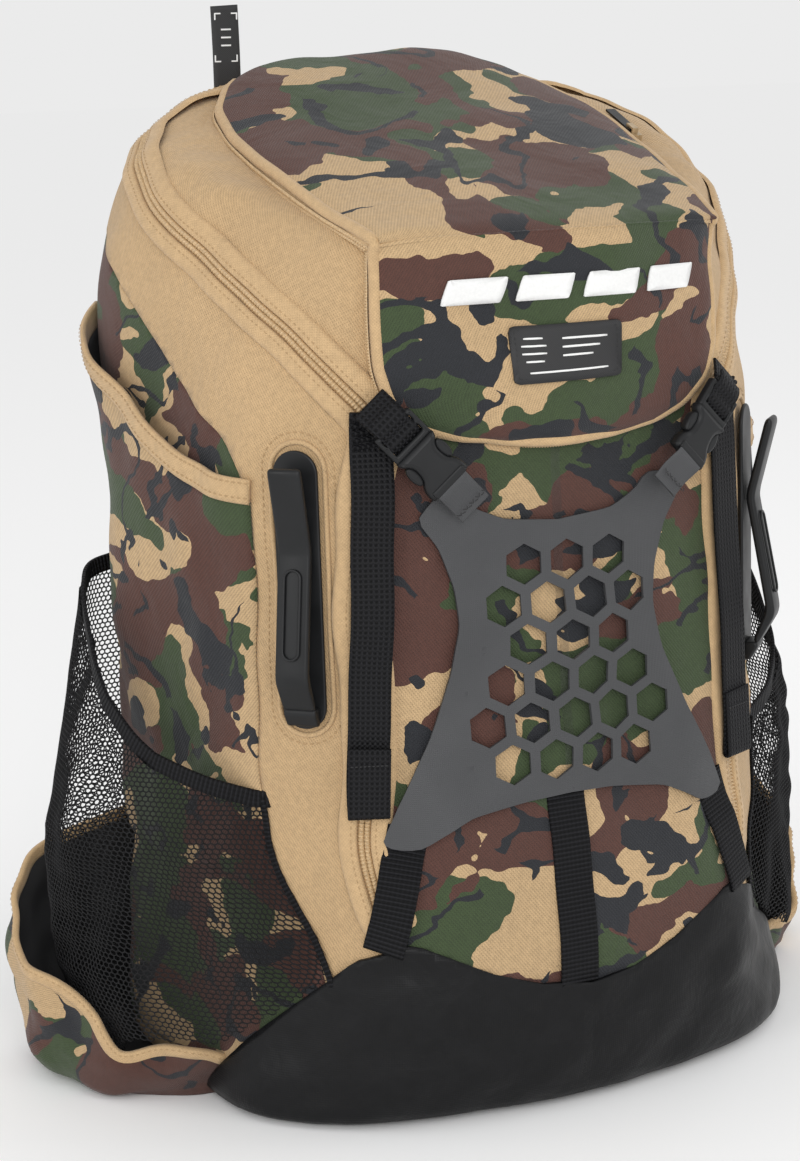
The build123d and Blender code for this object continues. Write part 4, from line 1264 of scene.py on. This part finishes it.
def pocket_surface(levels, back, spread, side, lead):
    """A function that gives the pocket's points at a share of its length and a height."""
    heights = np.linspace(levels[0][0], levels[-1][0], POCKET_ROWS)
    table = np.array([resample_to(pocket_ring(z, levels, back, spread, lead), POCKET_COLS) for z in heights])

    def split(share, count):
        at = np.clip(share, 0, 1) * (count - 1)
        low = np.minimum(np.floor(at).astype(int), count - 2)
        return low, (at - low)[..., None]

    def at(s, z):
        i, f = split(s, POCKET_COLS)
        j, g = split((z - heights[0]) / (heights[-1] - heights[0]), POCKET_ROWS)
        a, b = (table[row, i] * (1 - f) + table[row, i + 1] * f for row in (j, j + 1))
        xy = a * (1 - g) + b * g
        return np.stack([xy[..., 0] * -side, xy[..., 1], z], -1)

    return at


def ends_held(share, steepness):
    """Lets folds fade out towards both ends of a pocket."""
    return np.clip(share * steepness, 0, 1) * np.clip((1 - share) * steepness, 0, 1)


def net_cells():
    """The flat net: corners as (along, height) and rings of six, corners shared between neighbours."""
    cols, rows = int(NET_LENGTH / NET_CELL), int(NET_HEIGHT / NET_ROW)
    cols += cols % 2
    index, verts, faces = {}, [], []
    for r in range(rows):
        for c in range(cols):
            ring = []
            for turn in np.radians(np.arange(0, 360, 60)):
                a = (c + 0.5 * (r % 2)) * NET_CELL + NET_CELL / math.sqrt(3) * math.sin(turn)
                b = NET_FOOT + r * NET_ROW + NET_CELL / math.sqrt(3) * math.cos(turn)
                key = (round(a * 6), round(b * 6))
                if key not in index:
                    index[key] = len(verts)
                    verts.append((a, b))
                ring.append(index[key])
            faces.append(ring)
    return np.array(verts), faces


def make_net(side, name, surface):
    flat, faces = net_cells()
    s, z = np.clip(flat[:, 0] / NET_LENGTH, 0, 1), flat[:, 1]
    points = surface(s, z)
    rim = np.interp(points[:, 1], *NET_RIM.T)
    sag = 2.2 * waves(points * (1, 1, 0.7), 55, 41) + 0.9 * waves(points, 25, 43)
    points[:, 0] += side * sag * ends_held(s, 8)
    low = np.maximum(np.interp(points[:, 1], BASE_SIDE_Y[:-1], BASE_SIDE_TOP[:-1]),
                     np.interp(points[:, 1], [-60, -45, -20, 0, 15], [20, 38, 36, 31, 14]))
    front = np.interp(z, *NET_FRONT.T[::-1]) - 1.0
    good = (z < rim - 1) & (points[:, 1] > front) & (z > low) & (flat[:, 0] <= NET_LENGTH)
    verts, faces = used_only(points, [f for f in faces if all(good[i] for i in f) and len(set(f)) == 6])
    piece = add_piece(f"net_{name}", verts, faces, "net", "root", replaces=[f"mesh_pocket_{name}"])
    modify(piece, "WIREFRAME", thickness=0.95 * MM, use_even_offset=False)


def rim_point(surface, s):
    """The point of a net's rim at a share of its length."""
    z = 200.0
    for _ in range(12):
        z = 0.5 * z + 0.5 * float(np.interp(surface(np.array([s]), np.array([z]))[0, 1], *NET_RIM.T))
    return surface(np.array([s]), np.array([z]))[0]


def make_net_pockets():
    for side, name in SIDES:
        surface = pocket_surface(NET_LEVELS, 92, 0, side, NET_LEAD)
        make_net(side, name, surface)
        seam, n = on_body([side_at(side, y, z)[0] for y, z in smooth_line(NET_FRONT, 2.0, 4.0)], 0.9)
        sweep(f"net_seam_{name}", seam, n, strap_profile(3.4, 1.6), "elastic", "root")
        rim = np.array([rim_point(surface, s) for s in np.linspace(0, 1, 90)])
        out = unit(np.cross(np.gradient(rim, axis=0), (0, 0, 1.0)))
        out = out if out[45, 0] * side > 0 else -out
        sweep(f"net_binding_{name}", rim, out, strap_profile(8.5, 2.0), "elastic", "root")


def make_cups():
    share, height = np.linspace(0, 1, CUP_COLS), np.linspace(0, 1, CUP_ROWS)
    top = blur(np.interp(share, CUP_SHARE, CUP_TOP), 2.5)
    for side, name in SIDES:
        surface = pocket_surface(CUP_LEVELS - (0, CUP_TRIM[name]), 110, 10, side, CUP_LEAD)
        grid = np.array([surface(share, 0.6 + (top - 0.6) * t) for t in height])
        n = normals_of(grid)
        n = n if n[20, 55, 0] * side > 0 else -n
        flat = grid.reshape(-1, 3)
        sag = 2.6 * waves(flat * (1, 1, 0.8), 48, 51) + 1.2 * waves(flat, 22, 53)
        sag = sag.reshape(CUP_ROWS, CUP_COLS) * ends_held(share, 9) * np.clip(height * 4, 0, 1)[:, None]
        grid = grid + n * sag[..., None]
        grid[..., 2] = np.maximum(grid[..., 2], 0.9)
        centre = np.array((side * 150.0, 30.0, 0.8))
        floor = [centre + (grid[0] - centre) * k for k in np.linspace(0.1, 1, 8, endpoint=False)]
        full = np.concatenate([floor, grid])
        faces = grid_faces(len(full), CUP_COLS)
        piece = add_piece(f"cup_{name}", full.reshape(-1, 3), flipped(faces) if side == -1 else faces,
                          ["camo_cup", "lining"], "root",
                          grid_uv(np.linspace(0, 260, CUP_COLS), np.linspace(-40, 110, len(full))),
                          replaces=[f"bat_cup_{name}"])
        thicken(piece, 1.4, 0)
        line, out = grid[-1][::-side], unit(blur(n[-1], 2.0))[::-side]
        sweep(f"cup_binding_{name}", line, out, CUP_HEM, "binding", "root")
        stitches(f"cup_stitch_{name}", line, out, "root", "thread", 3.2, 2.0, 0.28, 1.65, 1.6)


# ---------------------------------------------------------------- padding and the carrying side
STRAP_PATH = [(-42, 132, 457), (-46, 141, 446), (-54, 149, 420), (-63, 153, 380), (-71, 150, 330),
              (-78, 142, 280), (-86, 134, 230), (-94, 130, 187)]
LOWER_WEBBING = [(-97.4, 131.8, 180.2), (-100, 132.6, 175), (-102.6, 131, 168.5), (-112, 129.5, 154),
                 (-124, 127, 139), (-136, 125, 125)]
WING = np.array([(-151.5, 84.5), (-128.5, 92.5), (-128.5, 125.5), (-140, 130.5), (-151.5, 127)])
STERNUM_Y, STERNUM_Z = 162.5, 340.0
PAD_ROWS = ((61, 174), (191, 299))
# share of the pad's outline and y of each ring from its foot to its crown
PAD_RINGS = ((1.0, 114.6), (1.0, 116.4), (0.97, 118.6), (0.86, 120.4), (0.6, 121.0), (0.3, 121.2))
HANDLE_Y = 118.0
HANDLE_HALF = [(42, 490.5), (41, 480), (35, 471.5), (22, 469)]


def puff_up(piece, voxel, cap, pressure=4.0, frames=20):
    """Swells a closed soft piece with a short cloth simulation, and keeps the result in its mesh."""
    bpy.context.view_layer.objects.active = piece
    modify(piece, "REMESH", mode="VOXEL", voxel_size=voxel * MM)
    remeshed = bpy.data.meshes.new_from_object(piece.evaluated_get(bpy.context.evaluated_depsgraph_get()))
    piece.modifiers.clear()
    paint = piece.data.materials[0]
    piece.data = remeshed
    remeshed.materials.clear()
    remeshed.materials.append(paint)
    start = np.array([v.co for v in remeshed.vertices])
    cloth = modify(piece, "CLOTH")
    cloth.settings.use_pressure = True
    cloth.settings.uniform_pressure_force = pressure
    cloth.settings.effector_weights.gravity = 0
    cloth.point_cache.frame_start = 1
    cloth.point_cache.frame_end = frames
    for number in range(1, frames + 1):
        bpy.context.scene.frame_set(number)
    swollen = piece.evaluated_get(bpy.context.evaluated_depsgraph_get()).data
    shift = np.array([v.co for v in swollen.vertices]) - start
    piece.modifiers.clear()
    bpy.context.scene.frame_set(1)
    shift *= np.minimum(1, cap * MM / np.maximum(np.linalg.norm(shift, axis=1, keepdims=True), 1e-9))
    remeshed.vertices.foreach_set("co", (start + shift).astype(np.float32).ravel())
    remeshed.shade_smooth()
    remeshed.update()
    modify(piece, "SUBSURF", levels=1, render_levels=1)


def make_back_pads():
    for column, side in enumerate((-1, 1)):
        for row, (low, high) in enumerate(PAD_ROWS):
            outline = smooth_loop(rect(*sorted((side * 15, side * 97)), low, high), 7.0, 4.0)
            middle, count = outline.mean(0), len(outline)
            verts = [(x, y, z) for share, y in PAD_RINGS for x, z in middle + (outline - middle) * share]
            faces = grid_faces(len(PAD_RINGS), count, wrap=True)
            faces += [tuple(range(count))[::-1], tuple(range(len(verts) - count, len(verts)))]
            name = f"back_pad_{column}{row}"
            pad = add_piece(name, verts, flipped(faces), "padding", "root", replaces=["back_pads"])
            puff_up(pad, 5.0, 2.2)
            edge = [(x, 115.6, z) for x, z in np.concatenate([outline, outline[:1]])]
            sweep(name + "_piping", edge, BACKWARD, tube_profile(1.7), "webbing", "root",
                  slot="black_padding")


def make_yoke():
    sweep("yoke_band", resample([(-74, 117.1, 448.5), (74, 117.1, 448.5)], 4), BACKWARD,
          strap_profile(24.5, 4.6, 1.8), "webbing", "root", replaces=["strap_yoke"])
    for z in (439, 458):
        line = resample([(-72, 119.5, z), (72, 119.5, z)], 3)
        stitches(f"yoke_stitch_{z}", line, BACKWARD, "root", "dark_thread", 3.4, 2.2, 0.35, 0.1)


def make_shoulder_strap(side, name):
    path = smooth_line([mirrored(p, side) for p in STRAP_PATH], 5.0, 7.0)
    along = unit(np.gradient(path, axis=0))
    across = unit(np.array((1.0, 0, 0)) - along * along[:, :1])
    out = np.cross(across, along)
    out = out * np.sign(out[:, 1:2])
    width = np.interp(np.linspace(0, 1, len(path)), [0, 0.1, 0.45, 0.8, 0.93, 1.0], [50, 56, 61, 58, 46, 34])
    shapes = np.array([strap_profile(w - 2, 8.6, 3.6) for w in width])
    strap = sweep(f"strap_pad_{name}", path, out, shapes, "padding", "root",
                  replaces=[f"shoulder_strap_{name}"])
    puff_up(strap, 4.5, 2.4)
    for sign, edge in ((-1, "a"), (1, "b")):
        sweep(f"strap_piping_{name}_{edge}", path + across * (width / 2 - 1.2)[:, None] * sign, out,
              tube_profile(1.8), "webbing", "root", slot="black_padding")
    path, across, out = path[4:-3], across[4:-3], out[4:-3]
    face = path + out * 7.4
    sweep(f"strap_rail_{name}", face, out, strap_profile(18, 1.5), "webbing", "root")
    for k in range(0, len(face), 8):
        bar = [face[k] + across[k] * v for v in np.linspace(-7.5, 7.5, 10)]
        stitches(f"strap_tack_{name}_{k}", bar, out[k], "root", "dark_thread", 1.8, 1.4, 0.35, 0.9)
    low = smooth_line([mirrored(p, side) for p in LOWER_WEBBING], 3.0, 3.0)
    sweep(f"lower_webbing_{name}", low, BACKWARD, strap_profile(19.5, 1.6), "webbing", "root",
          replaces=[f"strap_webbing_{name}"])
    plate(f"wing_{name}", [smooth_loop(WING, 2.0, 1.5) * (-side, 1)], 7.6, 3.4,
          ((0, 118.3, 0), (1, 0, 0), (0, 0, 1), FRONTWARD), "padding", "root",
          replaces=[f"strap_wing_{name}"])


def make_handle():
    half = [(x, HANDLE_Y, z) for x, z in HANDLE_HALF]
    loop = smooth_line([(-x, y, z) for x, y, z in half] + half[::-1], 2.5, 3.0)
    sweep("handle_loop", loop, BACKWARD, ellipse(0, 0, 4.3, 2.4, 14), "webbing", "grab_handle",
          replaces=["grab_handle"])
    sweep("handle_grip", loop[10:-10], BACKWARD, ellipse(0, 0, 5.0, 3.1, 14), "padding", "grab_handle",
          slot="black_webbing")


def make_back():
    make_back_pads()
    make_yoke()
    for side, name in SIDES:
        make_shoulder_strap(side, name)
    make_handle()
    for name, x0, x1 in (("left", -66, -11.5), ("right", 17, 66)):
        line = resample([(x, STERNUM_Y, STERNUM_Z) for x in (x0, x1)], 3)
        sweep(f"chest_strap_{name}", line, BACKWARD, strap_profile(15.6, 1.5), "webbing", "sternum_strap",
              replaces=[f"sternum_webbing_{name}"])


# ---------------------------------------------------------------- tag, tray and the CAD's own parts
TAG_X, TAG_LEAN = -76.5, 0.087
# across, up, width and height of each plain mark: four corner brackets and three lines
TAG_MARKS = ([(x, z, 3.4, 0.7) for z in (529, 505) for x in (-4.6, 4.6)]
             + [(x, z, 0.7, 3.4) for z in (527.5, 506.5) for x in (-6.0, 6.0)]
             + [(0, z, 5.4, 0.8) for z in (521, 517, 513)])
TRAY_RINGS = ((1.0, 1.0), (6, 1.0), (12, 0.995), (20, 0.99), (28, 0.985), (31.5, 0.95), (33, 0.85),
              (33.5, 0.6), (33.5, 0.3), (33.5, 0.05))
CAD_PAINTS = {
    "metal": ("main_zip_slider_left", "main_zip_slider_right", "lid_zip_slider"),
    "plastic": ("main_zip_pull_left", "main_zip_pull_right", "lid_zip_pull", "ladder_lock_left",
                "ladder_lock_right",
                "sternum_slider_left", "sternum_slider_right", "sternum_buckle_socket",
                "sternum_buckle_plug"),
    "board": ("back_frame_sheet", "base_board")}


def make_tag():
    path = smooth_line([(-76, 110.5, 491), (-76, 110, 510), (-77, 108, 533)], 2.0, 2.0)
    sweep("pull_tag", path, FRONTWARD, strap_profile(15, 1.3), "label", "root", replaces=["top_tag"])
    for k, (x, z, width, height) in enumerate(TAG_MARKS):
        origin = (TAG_X + x, 108.9 - (z - 510) * TAG_LEAN, z)
        place = (origin, (1, 0, 0), (0, -TAG_LEAN, 0.996), (0, -0.996, -TAG_LEAN))
        outline = rect(-width / 2, width / 2, -height / 2, height / 2)
        plate(f"tag_mark_{k}", [outline], 0.4, 0.1, place, "white", "root")


def make_tray():
    """The open tray of the top pocket, under the lid."""
    ring = smooth_loop(rect(-74, 74, -82, 78), 6.0, 6.0)
    middle, count = ring.mean(0), len(ring)
    verts = np.array([(x, y, roof_z(y) - depth) for depth, share in TRAY_RINGS
                      for x, y in middle + (ring - middle) * share])
    verts[:, 2] += np.where(verts[:, 2] < roof_z(verts[:, 1]) - 30, 0.8 * waves(verts, 40, 61), 0)
    faces = grid_faces(len(TRAY_RINGS), count, wrap=True) + [tuple(range(len(verts) - count, len(verts)))]
    thicken(add_piece("tray_lining", verts, faces, "lining", "front_flap", replaces=["lid_pocket_tray"]), 1.2,
            0)


def paint_cad():
    for paint, names in CAD_PAINTS.items():
        for name in names:
            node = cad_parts[name]
            node.data.materials.clear()
            node.data.materials.append(P[paint])
            soften(node, 0.45, 35)


make_camera()
make_lamps()
make_studio()
make_materials()
make_skin()
make_main_zip()
lid, lid_normals = make_lid_shell()
make_lid_edge(lid, lid_normals)
make_lid_seam(lid)
make_lid_hinge(lid)
make_lid_marks(lid)
make_panel()
make_buckles()
make_tails()
make_elastics()
make_hooks()
make_sleeves()
make_net_pockets()
make_cups()
make_back()
make_tag()
make_tray()
paint_cad()
